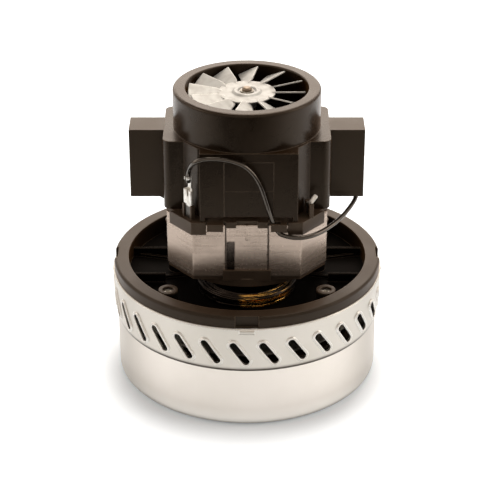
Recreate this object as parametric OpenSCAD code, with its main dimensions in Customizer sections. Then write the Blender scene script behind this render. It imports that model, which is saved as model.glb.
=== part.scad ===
// Two-stage bypass vacuum motor: a sheet-metal turbine shell, a moulded end bracket,
// a two-pole universal motor and a moulded brush housing with a cooling fan on top.
// The axis is +Z, and the origin is the centre of the turbine's flat inlet face.

/* [Turbine shell] */
// Outer diameter of the slotted band at its lower edge
band_d = 144; // [140:1:150]
// Sheet thickness of the lower can and the slotted band
sheet_t = 0.8; // [0.6:0.1:1]
// Height of the lower can
can_h = 38; // [37:1:44]
// Outer corner radius at the bottom of the lower can
can_corner_r = 4; // [2:0.5:6]
// Diameter of the air inlet
inlet_d = 38; // [32:1:42]
// Height of the turned-in inlet collar, from the outer face
inlet_lip = 3.8; // [2.5:0.1:5]
// Height of the slotted band
band_h = 26; // [25:1:30]
// How far the band laps over the lower can
band_lap = 4; // [3:0.5:5]
// How much the band's radius grows from its lower edge to its upper edge
band_flare = 0.8; // [0.4:0.1:1.2]
// Height of the turned-in lower edge of the band
hem_h = 1.6; // [1:0.1:3]

/* [Exhaust slots] */
// Number of slots round the band
slot_count = 30; // [24:1:32]
// Overall length of a slot
slot_l = 15.2; // [12:0.1:16]
// Width of a slot
slot_w = 3.9; // [3:0.1:4.2]
// Lean of a slot from the vertical
slot_tilt = 35; // [20:1:40]
// Angle of the first slot from the front
slot_phase = -3; // [-6:0.5:6]
// Height of the slots' middle above the band's lower edge
slot_rise = 11; // [10.5:0.5:12]
// Height of the raised edge round a slot
slot_lip_h = 0.6; // [0.3:0.1:0.8]
// Width of the raised edge round a slot
slot_lip_w = 1.2; // [0.8:0.1:1.4]

/* [End bracket] */
// Height of the bracket's rim above the band
rim_h = 6.2; // [5:0.1:8]
// Width of the rim round the well
rim_w = 7.4; // [7:0.1:10]
// Depth of the well below the rim
well_depth = 10; // [9:0.5:11]
// Thickness of the well's floor
floor_t = 2.5; // [2:0.1:3]
// Thickness of the bracket's walls
bracket_wall = 2.5; // [2:0.1:2.8]
// Rounding of the rim's outer edge
rim_round = 1.5; // [0.5:0.1:2]
// Width of the four crimping notches in the rim
notch_w = 12; // [8:0.5:16]
// Depth of the crimping notches
notch_depth = 2; // [1:0.1:2.2]
// Distance of the bracket screws from the well's wall
screw_inset = 6.1; // [5.5:0.1:8]
// Diameter of the screw pillars
pillar_d = 10; // [9:0.5:11]
// Distance of the long ribs from the middle of the well
rib_y = 15; // [13:0.5:18]
// Thickness of the ribs
rib_t = 1.6; // [1.2:0.1:2.4]

/* [Turbine inside] */
// Gap between the impellers and the lower can's wall
impeller_gap = 8.4; // [6:0.1:12]
// Height of an impeller
impeller_h = 14; // [12:0.5:14.5]
// Thickness of the impellers' plates and vanes
impeller_t = 1; // [0.8:0.1:1.2]
// Diameter of an impeller's eye
eye_d = 42; // [38:1:48]
// Number of vanes on an impeller
vane_count = 7; // [5:1:9]
// Running clearance inside the turbine
run_gap = 1.2; // [0.8:0.1:1.6]
// Thickness of the plate that closes the turbine
plate_t = 1.3; // [1:0.1:1.6]

/* [Motor core] */
// Width of the stator core
core_w = 84.4; // [84:0.2:86]
// Depth of the stator core
core_d = 77.2; // [76:0.2:78]
// How far the slanted corners cut into the core's width, at each end
core_cut_w = 14; // [12:0.5:15]
// How far the slanted corners cut into the core's depth, at each end
core_cut_d = 17.1; // [16:0.1:18]
// Height of the stator core
core_h = 30; // [28:0.5:36]
// Height of the core above the bracket's rim
core_lift = 5.8; // [5:0.1:8]
// Diameter of the armature
armature_d = 41.6; // [40:0.2:42]
// Air gap between the armature and the poles
air_gap = 0.6; // [0.5:0.1:0.9]
// Thickness of the insulators' plates
insulator_t = 2; // [1.5:0.1:2.4]
// Distance of the through bolts from the core's sides
bolt_inset = 4.4; // [4.2:0.1:4.6]
// Diameter of the through bolts
bolt_d = 4; // [3:0.5:4]

/* [Field coils] */
// Diameter of the winding's wire bundle
strand_d = 1.3; // [1:0.1:1.3]
// Clear gap between the turns
strand_gap = 0.45; // [0.45:0.05:0.5]
// Turns in each layer of a coil
layer_turns = 3; // [2:1:3]
// How far the lower end turns bulge out
bulge_low = 22.5; // [16:0.5:23]
// How far the upper end turns bulge out
bulge_high = 6; // [4:0.5:7]

/* [Rotor] */
// Diameter of the shaft
shaft_d = 8; // [8:0.1:8.4]
// Diameter of the shaft's upper end
shaft_end_d = 5; // [4:0.5:6]
// Outer diameter of the ball bearings
bearing_d = 22; // [21:0.5:23]
// Width of the ball bearings
bearing_w = 7; // [6:0.5:7.5]
// Diameter of the commutator
commutator_d = 23; // [21:0.5:25]
// Length of the commutator
commutator_l = 16; // [14:0.5:17]

/* [Brush housing] */
// Height of the housing from the insulator to its shoulder
house_h = 38.5; // [38.5:0.5:44]
// Thickness of the housing's walls
house_wall = 2.5; // [2:0.1:2.8]
// Overhang of the side lobes beyond the core
lobe_over = 1.3; // [0.8:0.1:3]
// Depth of the side lobes
lobe_d = 47; // [44:0.5:48]
// Width of the front and back panels
panel_w = 50.5; // [50:0.5:53]
// Overhang of the front and back panels beyond the core
panel_over = 0.4; // [0.2:0.1:0.8]
// Gap below the front and back panels
panel_gap = 2.5; // [1:0.5:4]
// Diameter of the fan collar
collar_d = 77.6; // [76:0.2:77.6]
// Height of the fan collar above the shoulder
collar_h = 21.1; // [19:0.1:26]
// Inner diameter of the collar's mouth
mouth_d = 64.4; // [63:0.2:68]
// Thickness of the bulkhead under the fan
bulkhead_t = 4; // [3:0.5:4.5]

/* [Brush gear] */
// Length of a brush cover, out from the housing
cover_l = 18.3; // [17.5:0.1:24]
// Depth of a brush cover
cover_w = 17; // [15:0.5:18]
// Height of a brush cover
cover_h = 38.4; // [36:0.1:38.4]
// Wall of a brush cover
cover_wall = 2; // [1.5:0.1:2]
// Width of a carbon brush
brush_w = 6.4; // [5:0.1:7]
// Height of a carbon brush
brush_h = 11; // [9:0.5:12.5]
// Length of a carbon brush
brush_l = 30; // [26:0.5:31]

/* [Cooling fan] */
// Number of blades
blade_count = 12; // [9:1:13]
// Diameter of the fan
fan_d = 61.4; // [56:0.2:61.4]
// Diameter of the fan's hub disc
fan_hub_d = 30; // [28:0.5:32]
// Sheet thickness of the fan
fan_t = 0.8; // [0.6:0.1:1.2]
// Pitch of the blades
blade_pitch = 25; // [20:1:35]
// Chord of a blade at its tip
blade_chord = 12.8; // [9:0.1:13]
// Depth of the fan below the collar's mouth
fan_drop = 3; // [2:0.1:6]

/* [Lead] */
// Diameter of the jumper lead
lead_d = 2.4; // [1.8:0.1:2.6]

/* [Hidden] */
$fn = 96;

// General clearances: a seated round fit, and an overcut that lets a cutter pass a face
fit_gap = 0.05;
over = 1;

// Turbine shell
band_r = band_d / 2;
can_r = band_r - sheet_t - fit_gap;
inlet_r = inlet_d / 2;
z_band = can_h - band_lap;
z_lip = z_band + band_h;
z_slot = z_band + slot_rise;
hem_in = 0.8 * sheet_t;
lip_bead_r = 0.6;
lip_bead_proud = 0.3;
lug_r = 1.9;
lug_l = 8;
lug_proud = 0.6;

// End bracket
well_r = band_r - rim_w;
skirt_r = band_r + band_flare / 2 - sheet_t;
rim_r = band_r + band_flare - sheet_t / 2;
z_rim = z_lip + rim_h;
z_floor = z_rim - well_depth;
z_floor_low = z_floor - floor_t;
screw_r = 1.7;
screw_head_r = 2.8;
screw_head_h = 2.4;
screw_sink = 1.6;
socket_d = 3;
post_d = 10;
pillar_sink = 0.4;
low_rib_h = 1.5;
head_gap = 0.1;
bolt_gap = 0.2;
head_room = 0.3;
bolt_head_r = bolt_d / 2 + 2;
bolt_head_h = 3;

// Turbine inside, worked out from the top down
impeller_d = 2 * (can_r - sheet_t - impeller_gap);
z_plate = z_floor_low - plate_t;
z_second = z_plate - run_gap - impeller_h;
z_diffuser_top = z_second - 1.5 * run_gap;
z_first = inlet_lip + run_gap;
z_diffuser = z_first + impeller_h + run_gap;
diffuser_gap = 4.2;
spacer_r = shaft_d / 2 + 3.5;
washer_t = 1.2;
nut_h = 5;
nut_flats = 13;
shaft_tail = 2;

// Rotor
shaft_r = shaft_d / 2;
z_low_bearing = z_floor_low + 1;
hub_wall = 3.4;
hub_r = bearing_d / 2 + hub_wall;
bearing_lip_r = bearing_d / 2 - 1.8;
ring_t = 1.9;
ball_count = 7;
bearing_mid_r = (shaft_r + bearing_d / 2) / 2;
ball_r = (bearing_d / 2 - shaft_r) / 2 - ring_t + 0.6;

// Motor core
z_core = z_rim + core_lift;
z_core_top = z_core + core_h;
z_insulator_low = z_core - insulator_t;
z_house = z_core_top + insulator_t;
bore_r = armature_d / 2 + air_gap;
core_angle = atan(core_cut_w / core_cut_d);
core_corner = core_w / 2 * cos(core_angle) + (core_d / 2 - core_cut_d) * sin(core_angle);
bolt_x = core_w / 2 - bolt_inset;
pole_half = bore_r - 1.4;
yoke_w = 9.2;
window_x = core_w / 2 - yoke_w;
window_y = 21;
pole_tip_y = 10.5;
core_groove_w = 4;
core_groove_d = 2.5;
core_groove_x = 8.5;
core_groove_h = 20;
core_line_x = 11;
core_line_w = 0.7;
ridge_r = 0.7;
ridge_proud = 0.5;
ridge_h = 8.5;
tooth_count = 12;
armature_slot_r = 2.5;
armature_slot_pcr = armature_d / 2 - 5.2;
end_turn_h = 7;

// Brush housing
lobe_w = core_w + 2 * lobe_over;
panel_d = core_d + 2 * panel_over;
z_shoulder = z_house + house_h;
z_top = z_shoulder + collar_h;
z_bulkhead = z_shoulder - bulkhead_t;
z_brush = z_shoulder - cover_h / 2;
collar_r = collar_d / 2;
mouth_r = mouth_d / 2;
collar_lip_t = 3;
skirt_drop = 12;
rim_edge_r = 1.6;
mouth_skirt_t = 1.6;
mouth_edge_r = 0.7;
spider_w = 9;
relief_w = 25.4;
relief_t = 0.6;
relief_drop = 5;
relief_step_t = 0.3;
relief_step_h = 17;
bolt_boss_r = 4;
bolt_grip = 8.5;
bearing_roof = 2;
z_high_bearing = z_shoulder - bearing_roof - bearing_w;
lobe_corner_r = 4;
body_inset = 6.2;
panel_x = 1;

// Brush gear
cover_x = lobe_w / 2 + cover_l;
brush_gap = 0.35;
brush_play = 0.15;
tube_wall = 0.6;
tube_w = brush_w + 2 * (brush_play + tube_wall);
tube_h = brush_h + 2 * (brush_play + tube_wall);
tube_x0 = commutator_d / 2 + 4;
tube_x1 = cover_x - cover_wall - 3;
holder_x0 = tube_x0 + 2;
holder_wall = 2;
brush_x0 = commutator_d / 2 + brush_gap;
brush_x1 = brush_x0 + brush_l;
spring_r = 2.3;
spring_wire_r = 0.4;
spring_turns = 5;
lead_hole_x = cover_x - 3.5;
lead_hole_y = -3.6;
z_cover = z_shoulder - cover_h;
foot_l = 2.8;
foot_h = 1.7;
foot_root = 0.5;

// Cooling fan
z_fan = z_top - fan_drop;
blade_root = 5.6;
blade_phase = 28.7;
fan_boss_r = 5;
fan_boss_h = 8;
z_fan_boss = z_fan - fan_boss_h;
shaft_top = z_top - 0.3;
hub_ridge_h = 1;
hub_ridge_r = [3.8, 5.3, 6.6, 8.8];
lock_ring_r = 3.6;
lock_ring_h = 0.9;

// Terminals, just inside the core's slanted corners, measured along them from the middle
function corner_x(along) = (core_corner - tab_inset) * cos(core_angle) - along * sin(core_angle);
function corner_y(along) = (core_corner - tab_inset) * sin(core_angle) + along * cos(core_angle);
function corner_along(x) = ((core_corner - tab_inset) * cos(core_angle) - x) / sin(core_angle);
tab_w = 4.8;
tab_t = 0.8;
tab_h = 12;
tab_bend_h = 6;
tab_lean = 39;
bent_tab_l = 8.1;
bent_tab_turn = 108;
tab_inset = 2;
tab_clear = 3.95;
tab_front_inset = 3.5;
bent_tab_along = 3;
tab_x = panel_x + panel_w / 2 + tab_clear;
tab_y = min(corner_y(corner_along(tab_x)), core_d / 2 - tab_front_inset);
bent_tab_x = corner_x(bent_tab_along);
bent_tab_y = corner_y(bent_tab_along);
post_gap = 0.1;
post_w = 1.2;
post_half_t = 1.2;
post_h = 7.4;
post_root = 0.5;
block_reach = 7;
block_start = 4;
block_t = 9;
skirt_t = 1.3;
skirt_h = 5;

// Insulators: the ring under the core, the tabs over its lower edge, and the hooks and nibs front and back
plate_inset = 0.6;
insulator_back = 2;
flange_t = 2.8;
flange_h = 3.5;
flange_half = 29.5;
core_tab_half = 12.5;
core_tab_t = 1.2;
core_tab_h = 4;
hook_x = [12.3, 20.6];
hook_arm_x = 17.4;
hook_reach = 3.8;
hook_root = 2;
hook_t = 1.1;
hook_drop = 2;
nib_x = [5.5, 10.8];
nib_t = 0.9;
nib_drop = 1.3;

// Round shapes
module disc(r, z0, z1) { translate([0, 0, z0]) cylinder(r = r, h = z1 - z0); }

module tube(ro, ri, z0, z1) {
    translate([0, 0, z0]) difference() {
        cylinder(r = ro, h = z1 - z0);
        translate([0, 0, -over]) cylinder(r = ri, h = z1 - z0 + 2 * over);
    }
}

module block(x, y, z) { translate([x[0], y[0], z[0]]) cube([x[1] - x[0], y[1] - y[0], z[1] - z[0]]); }

// The waste outside a quarter round, at an outer corner of a profile
module corner_waste(r, dx, dy) {
    translate([-dx * r, -dy * r]) difference() {
        translate([dx > 0 ? 0 : -r - over, dy > 0 ? 0 : -r - over]) square(r + over);
        circle(r);
    }
}

module stadium(l, w) {
    square([w, l - w], center = true);
    for (s = [-1, 1]) translate([0, s * (l - w) / 2]) circle(d = w);
}

module rounded_rect(w, d, r) {
    square([w - 2 * r, d], center = true);
    square([w, d - 2 * r], center = true);
    for (x = [-1, 1], y = [-1, 1]) translate([x * (w / 2 - r), y * (d / 2 - r)]) circle(r);
}

module four_ways() { for (x = [0, 1], y = [0, 1]) mirror([x, 0, 0]) mirror([0, y, 0]) children(); }

module both_sides() { for (a = [0, 180]) rotate([0, 0, a]) children(); }

module left_and_right() { for (s = [0, 1]) mirror([s, 0, 0]) children(); }

module quarter_turns() { for (a = [0:90:270]) rotate([0, 0, a]) children(); }

// Swept tubes: rings of points round each point of a path, closed by flat ends
function unit(v) = v / norm(v);
function along(path, i) = unit(path[min(i + 1, len(path) - 1)] - path[max(i - 1, 0)]);
function square_to(v, t) = unit(v - (v * t) * t);
function ring_points(p, t, side, r, n) =
    let (a = square_to(side, t), b = cross(t, a))
    [for (k = [0:n - 1]) p + r * (cos(360 * k / n) * a + sin(360 * k / n) * b)];

module swept_tube(path, sides, r, n) {
    rows = len(path);
    points = [for (i = [0:rows - 1]) each ring_points(path[i], along(path, i), sides[i], r, n)];
    walls = [for (i = [0:rows - 2], k = [0:n - 1])
        let (a = i * n + k, b = i * n + (k + 1) % n)
        each [[a, a + n, b], [b, a + n, b + n]]];
    first_cap = [for (k = [1:n - 2]) [0, k, k + 1]];
    last = (rows - 1) * n;
    last_cap = [for (k = [1:n - 2]) [last, last + k + 1, last + k]];
    polyhedron(points, concat(walls, first_cap, last_cap));
}

function least_gap(path, skip, d) =
    min([for (i = [0:len(path) - 1 - skip], j = [i + skip:len(path) - 1]) norm(path[i] - path[j])]) - d;

// Turbine shell
module lower_can() {
    color("Gainsboro") rotate_extrude() difference() {
        union() {
            difference() {
                square([can_r, can_h]);
                translate([can_r, 0]) corner_waste(can_corner_r, 1, -1);
                difference() {
                    translate([0, sheet_t]) square([can_r - sheet_t, can_h]);
                    translate([can_r - sheet_t, sheet_t]) corner_waste(can_corner_r - sheet_t, 1, -1);
                }
            }
            translate([inlet_r, 0]) square([sheet_t, inlet_lip]);
        }
        translate([-over, -over]) square([inlet_r + over, can_h]);
    }
}

module band_outline(grow) {
    polygon([[0, z_band], [band_r - hem_in + grow, z_band], [band_r + grow, z_band + hem_h],
        [band_r + band_flare + grow, z_lip], [0, z_lip]]);
}

module slot_prism(grow) {
    translate([0, -band_r + 5, z_slot]) rotate([90, 0, 0]) rotate([0, 0, slot_tilt])
        linear_extrude(10) stadium(slot_l + 2 * grow, slot_w + 2 * grow);
}

module each_slot() {
    for (i = [0:slot_count - 1]) rotate([0, 0, slot_phase + i * 360 / slot_count]) children();
}

module slotted_band() {
    inside = can_r + fit_gap;
    color("Gainsboro") difference() {
        union() {
            rotate_extrude() band_outline(0);
            intersection() {
                rotate_extrude() band_outline(slot_lip_h);
                each_slot() slot_prism(slot_lip_w);
            }
            rotate_extrude() translate([band_r + band_flare + lip_bead_proud - lip_bead_r, z_lip - lip_bead_r])
                circle(lip_bead_r);
            quarter_turns() translate([0, -band_r - band_flare + lug_r - lug_proud, z_lip - lug_r])
                rotate([0, 90, 0]) cylinder(r = lug_r, h = lug_l, center = true);
        }
        rotate_extrude() polygon([[0, z_band - over], [inside, z_band - over], [inside, can_h],
            [inside + band_flare, z_lip], [inside + band_flare, z_lip + over], [0, z_lip + over]]);
        each_slot() slot_prism(0);
    }
}

// End bracket
module bracket_ring_profile() {
    difference() {
        translate([well_r, z_floor_low]) square([rim_r - well_r, z_rim - z_floor_low]);
        translate([rim_r, z_rim]) corner_waste(rim_round, 1, 1);
        translate([skirt_r, z_floor_low - over]) square([rim_r, z_lip - z_floor_low + over]);
        translate([well_r + bracket_wall, z_floor_low - over])
            square([skirt_r - well_r - 2 * bracket_wall, z_rim - bracket_wall - z_floor_low + over]);
    }
}

module screw_places() {
    for (a = [45:90:315]) rotate([0, 0, a]) translate([well_r - screw_inset, 0, 0]) children();
}

module bolt_places() { for (x = [-bolt_x, bolt_x]) translate([x, 0, 0]) children(); }

module bracket_ribs() {
    rib_x = sqrt(well_r * well_r - rib_y * rib_y);
    for (y = [-rib_y, rib_y], s = [0, 1]) mirror([s, 0, 0])
        block([bolt_x + 6, rib_x + 1], [y - rib_t / 2, y + rib_t / 2],
            [z_floor - floor_t / 2, z_rim - well_depth / 2]);
    for (a = [14, 166, 194, 346]) rotate([0, 0, a])
        block([hub_r - 1, well_r + 1], [-rib_t / 2, rib_t / 2], [z_floor - floor_t / 2, z_floor + low_rib_h]);
}

module motor_bracket() {
    color("#35302b") difference() {
        union() {
            rotate_extrude() bracket_ring_profile();
            disc(well_r + bracket_wall, z_floor_low, z_floor);
            disc(hub_r, z_floor_low, z_low_bearing + bearing_w);
            screw_places() disc(pillar_d / 2, z_floor_low, z_rim - pillar_sink);
            bolt_places() disc(post_d / 2, z_floor_low, z_insulator_low);
            bracket_ribs();
        }
        disc(bearing_d / 2 + fit_gap, z_low_bearing, z_low_bearing + bearing_w + over);
        disc(bearing_lip_r, z_floor_low - over, z_low_bearing + over);
        screw_places() {
            disc(screw_r + fit_gap, z_floor_low - over, z_rim);
            disc(screw_head_r + head_gap, z_rim - screw_sink - screw_head_h, z_rim + over);
        }
        bolt_places() {
            disc(bolt_d / 2 + bolt_gap, z_floor_low - over, z_core);
            disc(bolt_head_r + bolt_gap, z_floor_low - over, z_floor_low + bolt_head_h + head_room);
        }
        quarter_turns()
            block([-notch_w / 2, notch_w / 2], [-rim_r - over, -rim_r + notch_depth], [z_lip, z_rim + over]);
    }
}

module bracket_screws() {
    z_head = z_rim - screw_sink - screw_head_h;
    color("Silver") screw_places() difference() {
        union() {
            disc(screw_r, z_plate, z_head + over / 2);
            disc(screw_head_r, z_head, z_head + screw_head_h);
        }
        translate([0, 0, z_head + screw_head_h / 2]) cylinder(d = socket_d, h = screw_head_h, $fn = 6);
    }
}

module turbine_plate() {
    color("Silver") difference() {
        tube(skirt_r - bracket_wall, bearing_lip_r + 0.3, z_plate, z_floor_low);
        screw_places() disc(screw_r + fit_gap, z_plate - over, z_floor_low + over);
    }
}

// Turbine inside
module vane(r_in, r_out, bend_r, t) {
    mid = (r_in + r_out) / 2;
    intersection() {
        difference() {
            circle(r_out);
            circle(r_in);
        }
        translate([mid * 0.5, -sqrt(bend_r * bend_r - mid * mid * 0.25)]) difference() {
            circle(bend_r + t / 2);
            circle(bend_r - t / 2);
        }
        square([r_out, r_out]);
    }
}

module impeller(z) {
    color("LightGray") difference() {
        union() {
            disc(impeller_d / 2, z + impeller_h - impeller_t, z + impeller_h);
            tube(impeller_d / 2, eye_d / 2, z, z + impeller_t);
            for (i = [0:vane_count - 1]) rotate([0, 0, i * 360 / vane_count])
                translate([0, 0, z + impeller_t / 2]) linear_extrude(impeller_h - impeller_t)
                    vane(eye_d / 2 + 1, impeller_d / 2 - 0.5, impeller_d * 0.55, impeller_t);
        }
        disc(shaft_r + fit_gap, z - over, z + impeller_h + over);
    }
}

module first_impeller() { impeller(z_first); }

module second_impeller() { impeller(z_second); }

module stage_diffuser() {
    color("LightGray") {
        tube(can_r - sheet_t - diffuser_gap, spacer_r + 1.5, z_diffuser, z_diffuser + impeller_t);
        tube(can_r - sheet_t - fit_gap, eye_d / 2, z_diffuser_top - impeller_t, z_diffuser_top);
        for (i = [0:vane_count + 1]) rotate([0, 0, i * 360 / (vane_count + 2)])
            translate([0, 0, z_diffuser + impeller_t / 2])
                linear_extrude(z_diffuser_top - z_diffuser - impeller_t)
                    vane(eye_d / 2 + 2, can_r - sheet_t - diffuser_gap - 1, impeller_d * 0.5, impeller_t);
    }
}

module stage_spacer() {
    color("Silver") tube(spacer_r, shaft_r + fit_gap, z_first + impeller_h, z_second + impeller_h - impeller_t);
}

module bearing_spacer() {
    color("Silver") tube(shaft_r + ring_t + 0.4, shaft_r + fit_gap, z_second + impeller_h, z_low_bearing);
}

module impeller_washer() {
    top = z_first + impeller_h - impeller_t;
    color("Silver") tube(spacer_r, shaft_r + fit_gap, top - washer_t, top);
}

module impeller_nut() {
    top = z_first + impeller_h - impeller_t - washer_t;
    color("Silver") difference() {
        translate([0, 0, top - nut_h]) cylinder(d = nut_flats / cos(30), h = nut_h, $fn = 6);
        disc(shaft_r + fit_gap, top - nut_h - over, top + over);
    }
}

// Rotor
module shaft() {
    bottom = z_first + impeller_h - impeller_t - washer_t - nut_h - shaft_tail;
    color("LightSteelBlue") rotate_extrude() difference() {
        union() {
            translate([0, bottom]) square([shaft_r, z_fan_boss - bottom]);
            translate([0, bottom]) square([shaft_end_d / 2, shaft_top - bottom]);
        }
        translate([shaft_end_d / 2, shaft_top]) corner_waste(1.2, 1, 1);
        translate([shaft_r, bottom]) corner_waste(0.8, 1, -1);
    }
}

module bearing_groove(z) { translate([bearing_mid_r, z + bearing_w / 2]) circle(ball_r + fit_gap); }

module bearing_outer(z) {
    color("Silver") rotate_extrude() difference() {
        translate([bearing_d / 2 - ring_t, z]) square([ring_t, bearing_w]);
        bearing_groove(z);
    }
}

module bearing_inner(z) {
    color("Silver") rotate_extrude() difference() {
        translate([shaft_r + fit_gap, z]) square([ring_t - fit_gap, bearing_w]);
        bearing_groove(z);
    }
}

module bearing_balls(z) {
    color("Silver") for (i = [0:ball_count - 1]) rotate([0, 0, i * 360 / ball_count])
        translate([bearing_mid_r, 0, z + bearing_w / 2]) sphere(ball_r);
}

module lower_bearing_outer() { bearing_outer(z_low_bearing); }

module lower_bearing_balls() { bearing_balls(z_low_bearing); }

module lower_bearing_inner() { bearing_inner(z_low_bearing); }

module upper_bearing_outer() { bearing_outer(z_high_bearing); }

module upper_bearing_balls() { bearing_balls(z_high_bearing); }

module upper_bearing_inner() { bearing_inner(z_high_bearing); }

module armature_slots(r) {
    for (i = [0:tooth_count - 1]) rotate((i + 0.5) * 360 / tooth_count) {
        translate([armature_slot_pcr, 0]) circle(r);
        if (r > armature_slot_r) translate([armature_slot_pcr, -0.9]) square([armature_d / 2, 1.8]);
    }
}

module armature_core() {
    color("DarkGray") translate([0, 0, z_core]) linear_extrude(core_h) difference() {
        circle(armature_d / 2);
        circle(shaft_r + fit_gap);
        armature_slots(armature_slot_r + 0.1);
    }
}

module end_turn_profile() {
    difference() {
        translate([shaft_r + 1.5, 0]) square([armature_slot_pcr + armature_slot_r - shaft_r - 1.5, end_turn_h]);
        translate([armature_slot_pcr + armature_slot_r, end_turn_h]) corner_waste(2.5, 1, 1);
    }
}

module armature_winding() {
    color("#a5602a") {
        translate([0, 0, z_core_top]) rotate_extrude() end_turn_profile();
        translate([0, 0, z_core]) mirror([0, 0, 1]) rotate_extrude() end_turn_profile();
        translate([0, 0, z_core - 1]) linear_extrude(core_h + 2) armature_slots(armature_slot_r);
    }
}

module commutator() {
    riser_h = 2.5;
    z0 = z_brush - commutator_l / 2;
    color("#b87333") difference() {
        union() {
            disc(commutator_d / 2, z0 - over / 2, z0 + commutator_l);
            disc(commutator_d / 2 + 0.25, z0 - riser_h, z0 - 0.4);
        }
        disc(shaft_r + fit_gap, z0 - riser_h - over, z0 + commutator_l + over);
        for (i = [0:tooth_count * 2 - 1]) rotate([0, 0, i * 180 / tooth_count])
            block([commutator_d / 2 - 0.8, commutator_d], [-0.25, 0.25], [z0, z0 + commutator_l + over]);
    }
}

// Motor core
module octagon(grow) {
    intersection() {
        square([core_w + 2 * grow, core_d + 2 * grow], center = true);
        rotate(core_angle) square([2 * (core_corner + grow), 3 * core_w], center = true);
        rotate(-core_angle) square([2 * (core_corner + grow), 3 * core_w], center = true);
    }
}

module core_window() {
    for (s = [-1, 1]) translate([s * (pole_half + window_x) / 2, 0])
        square([window_x - pole_half, 2 * window_y], center = true);
}

module stator_core() {
    color("Silver") difference() {
        union() {
            translate([0, 0, z_core]) linear_extrude(core_h) difference() {
                octagon(0);
                circle(bore_r);
                core_window();
                square([2 * pole_half + 1, 2 * pole_tip_y], center = true);
                for (x = [-bolt_x, bolt_x]) translate([x, 0]) circle(bolt_d / 2 + bolt_gap);
            }
            both_sides() translate([0, -core_d / 2 + ridge_r - ridge_proud, 0])
                disc(ridge_r, z_core_top - ridge_h, z_core_top);
        }
        both_sides() {
            block([-core_groove_x - core_groove_w / 2, -core_groove_x + core_groove_w / 2],
                [-core_d, -core_d / 2 + core_groove_d], [z_core - over, z_core + core_groove_h]);
            for (x = [-core_line_x, core_line_x]) block([x - core_line_w / 2, x + core_line_w / 2],
                [-core_d, -core_d / 2 + core_line_w], [z_core - over, z_core_top + over]);
        }
    }
}

module insulator_plate() {
    difference() {
        octagon(-plate_inset);
        circle(bore_r + insulator_back);
        core_window();
        square([2 * pole_half + 1, 2 * pole_tip_y], center = true);
        for (x = [-bolt_x, bolt_x]) translate([x, 0]) circle(bolt_d / 2 + bolt_gap);
    }
}

module lower_insulator() {
    color("#2c2723") {
        translate([0, 0, z_insulator_low]) linear_extrude(insulator_t) insulator_plate();
        intersection() {
            tube((core_d + flange_t) / 2, (core_d - flange_t) / 2,
                z_insulator_low - flange_h, z_core - insulator_t / 2);
            block([-flange_half, flange_half], [-core_d, core_d], [0, z_core]);
        }
        both_sides() block([-core_tab_half, core_tab_half], [-core_d / 2 - core_tab_t, -core_d / 2 - fit_gap],
            [z_core - insulator_t, z_core + core_tab_h]);
    }
}

module corner_zone() {
    x0 = core_w / 2 - core_cut_w - block_reach;
    y0 = core_d / 2 - core_cut_d + block_start;
    four_ways() polygon([[x0, core_d / 2 - block_t], [x0, core_d], [core_w, core_d], [core_w, y0],
        [core_w / 2 - block_t, y0]]);
}

module hook(arm_x) {
    front = -core_d / 2 - hook_reach;
    block([arm_x, hook_x[1]], [front, -core_d / 2 + hook_root], [z_core_top, z_house]);
    block(hook_x, [front, front + hook_t], [z_core_top - hook_drop, z_house]);
}

module upper_insulator() {
    color("#2c2723") {
        translate([0, 0, z_core_top]) linear_extrude(insulator_t) {
            insulator_plate();
            difference() {
                intersection() {
                    octagon(skirt_t);
                    corner_zone();
                }
                octagon(-1);
            }
        }
        translate([0, 0, z_core_top - skirt_h]) linear_extrude(skirt_h + insulator_t / 2) intersection() {
            difference() {
                octagon(skirt_t);
                octagon(fit_gap);
            }
            corner_zone();
        }
        both_sides() {
            hook(hook_arm_x);
            mirror([1, 0, 0]) hook(hook_x[0]);
            left_and_right() {
                block(nib_x, [-core_d / 2 - nib_t, -core_d / 2 - fit_gap], [z_core_top - nib_drop, z_house]);
                block(nib_x, [-core_d / 2 - nib_t, -core_d / 2 + 1], [z_core_top, z_house]);
            }
        }
        terminal_places() left_and_right()
            block([tab_w / 2 + post_gap, tab_w / 2 + post_gap + post_w], [-post_half_t, post_half_t],
                [z_house - post_root, z_house + post_h]);
    }
}

// Field coils: one unbroken tube each, three turns in a layer, four layers
coil_layers = 4;
coil_pitch = strand_d + strand_gap;
coil_rings = 24;
coil_x = pole_half + strand_d / 2 + 0.5;
coil_y = 15;
coil_bend = 3;
coil_low_z = z_core - 6.5;
coil_high_z = z_core_top + 5;

// How far the winding has spiralled out, and which layer it is on, after t turns
function coil_spread(t) =
    let (u = t % (2 * layer_turns))
    coil_pitch * (u < layer_turns ? u : 2 * layer_turns - u);
function coil_layer(t) =
    let (k = round(t / layer_turns), d = t - k * layer_turns, at_end = k < 1 || k > coil_layers - 1)
    coil_pitch * (at_end ? floor(t / layer_turns + 0.0001) : k - 1 + min(1, max(0, d * 2 + 0.5)));

// One point of a turn: q runs from 0 to 24, s is the spread and l the layer's depth
function coil_point(q, s, l) =
    let (a = coil_x + s, low = coil_low_z, high = coil_high_z, b = coil_bend + l, y = -coil_y)
    q < 1 ? [a, y + l, high + (low - high) * q] :
    q < 4 ? let (w = (q - 1) * 30) [a, y - coil_bend + b * cos(w), low - b * sin(w)] :
    q < 10 ? let (w = (q - 4) * 30) [a * cos(w), y - coil_bend - (bulge_low + s) * sin(w), low - b] :
    q < 13 ? let (w = (13 - q) * 30) [-a, y - coil_bend + b * cos(w), low - b * sin(w)] :
    q < 14 ? [-a, y + l, low + (high - low) * (q - 13)] :
    q < 17 ? let (w = (q - 14) * 30) [-a, y - coil_bend + b * cos(w), high + b * sin(w)] :
    q < 21 ? let (w = 180 - (q - 17) * 45) [a * cos(w), y - coil_bend - (bulge_high + s) * sin(w), high + b] :
    let (w = (24 - q) * 30) [a, y - coil_bend + b * cos(w), high + b * sin(w)];

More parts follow.
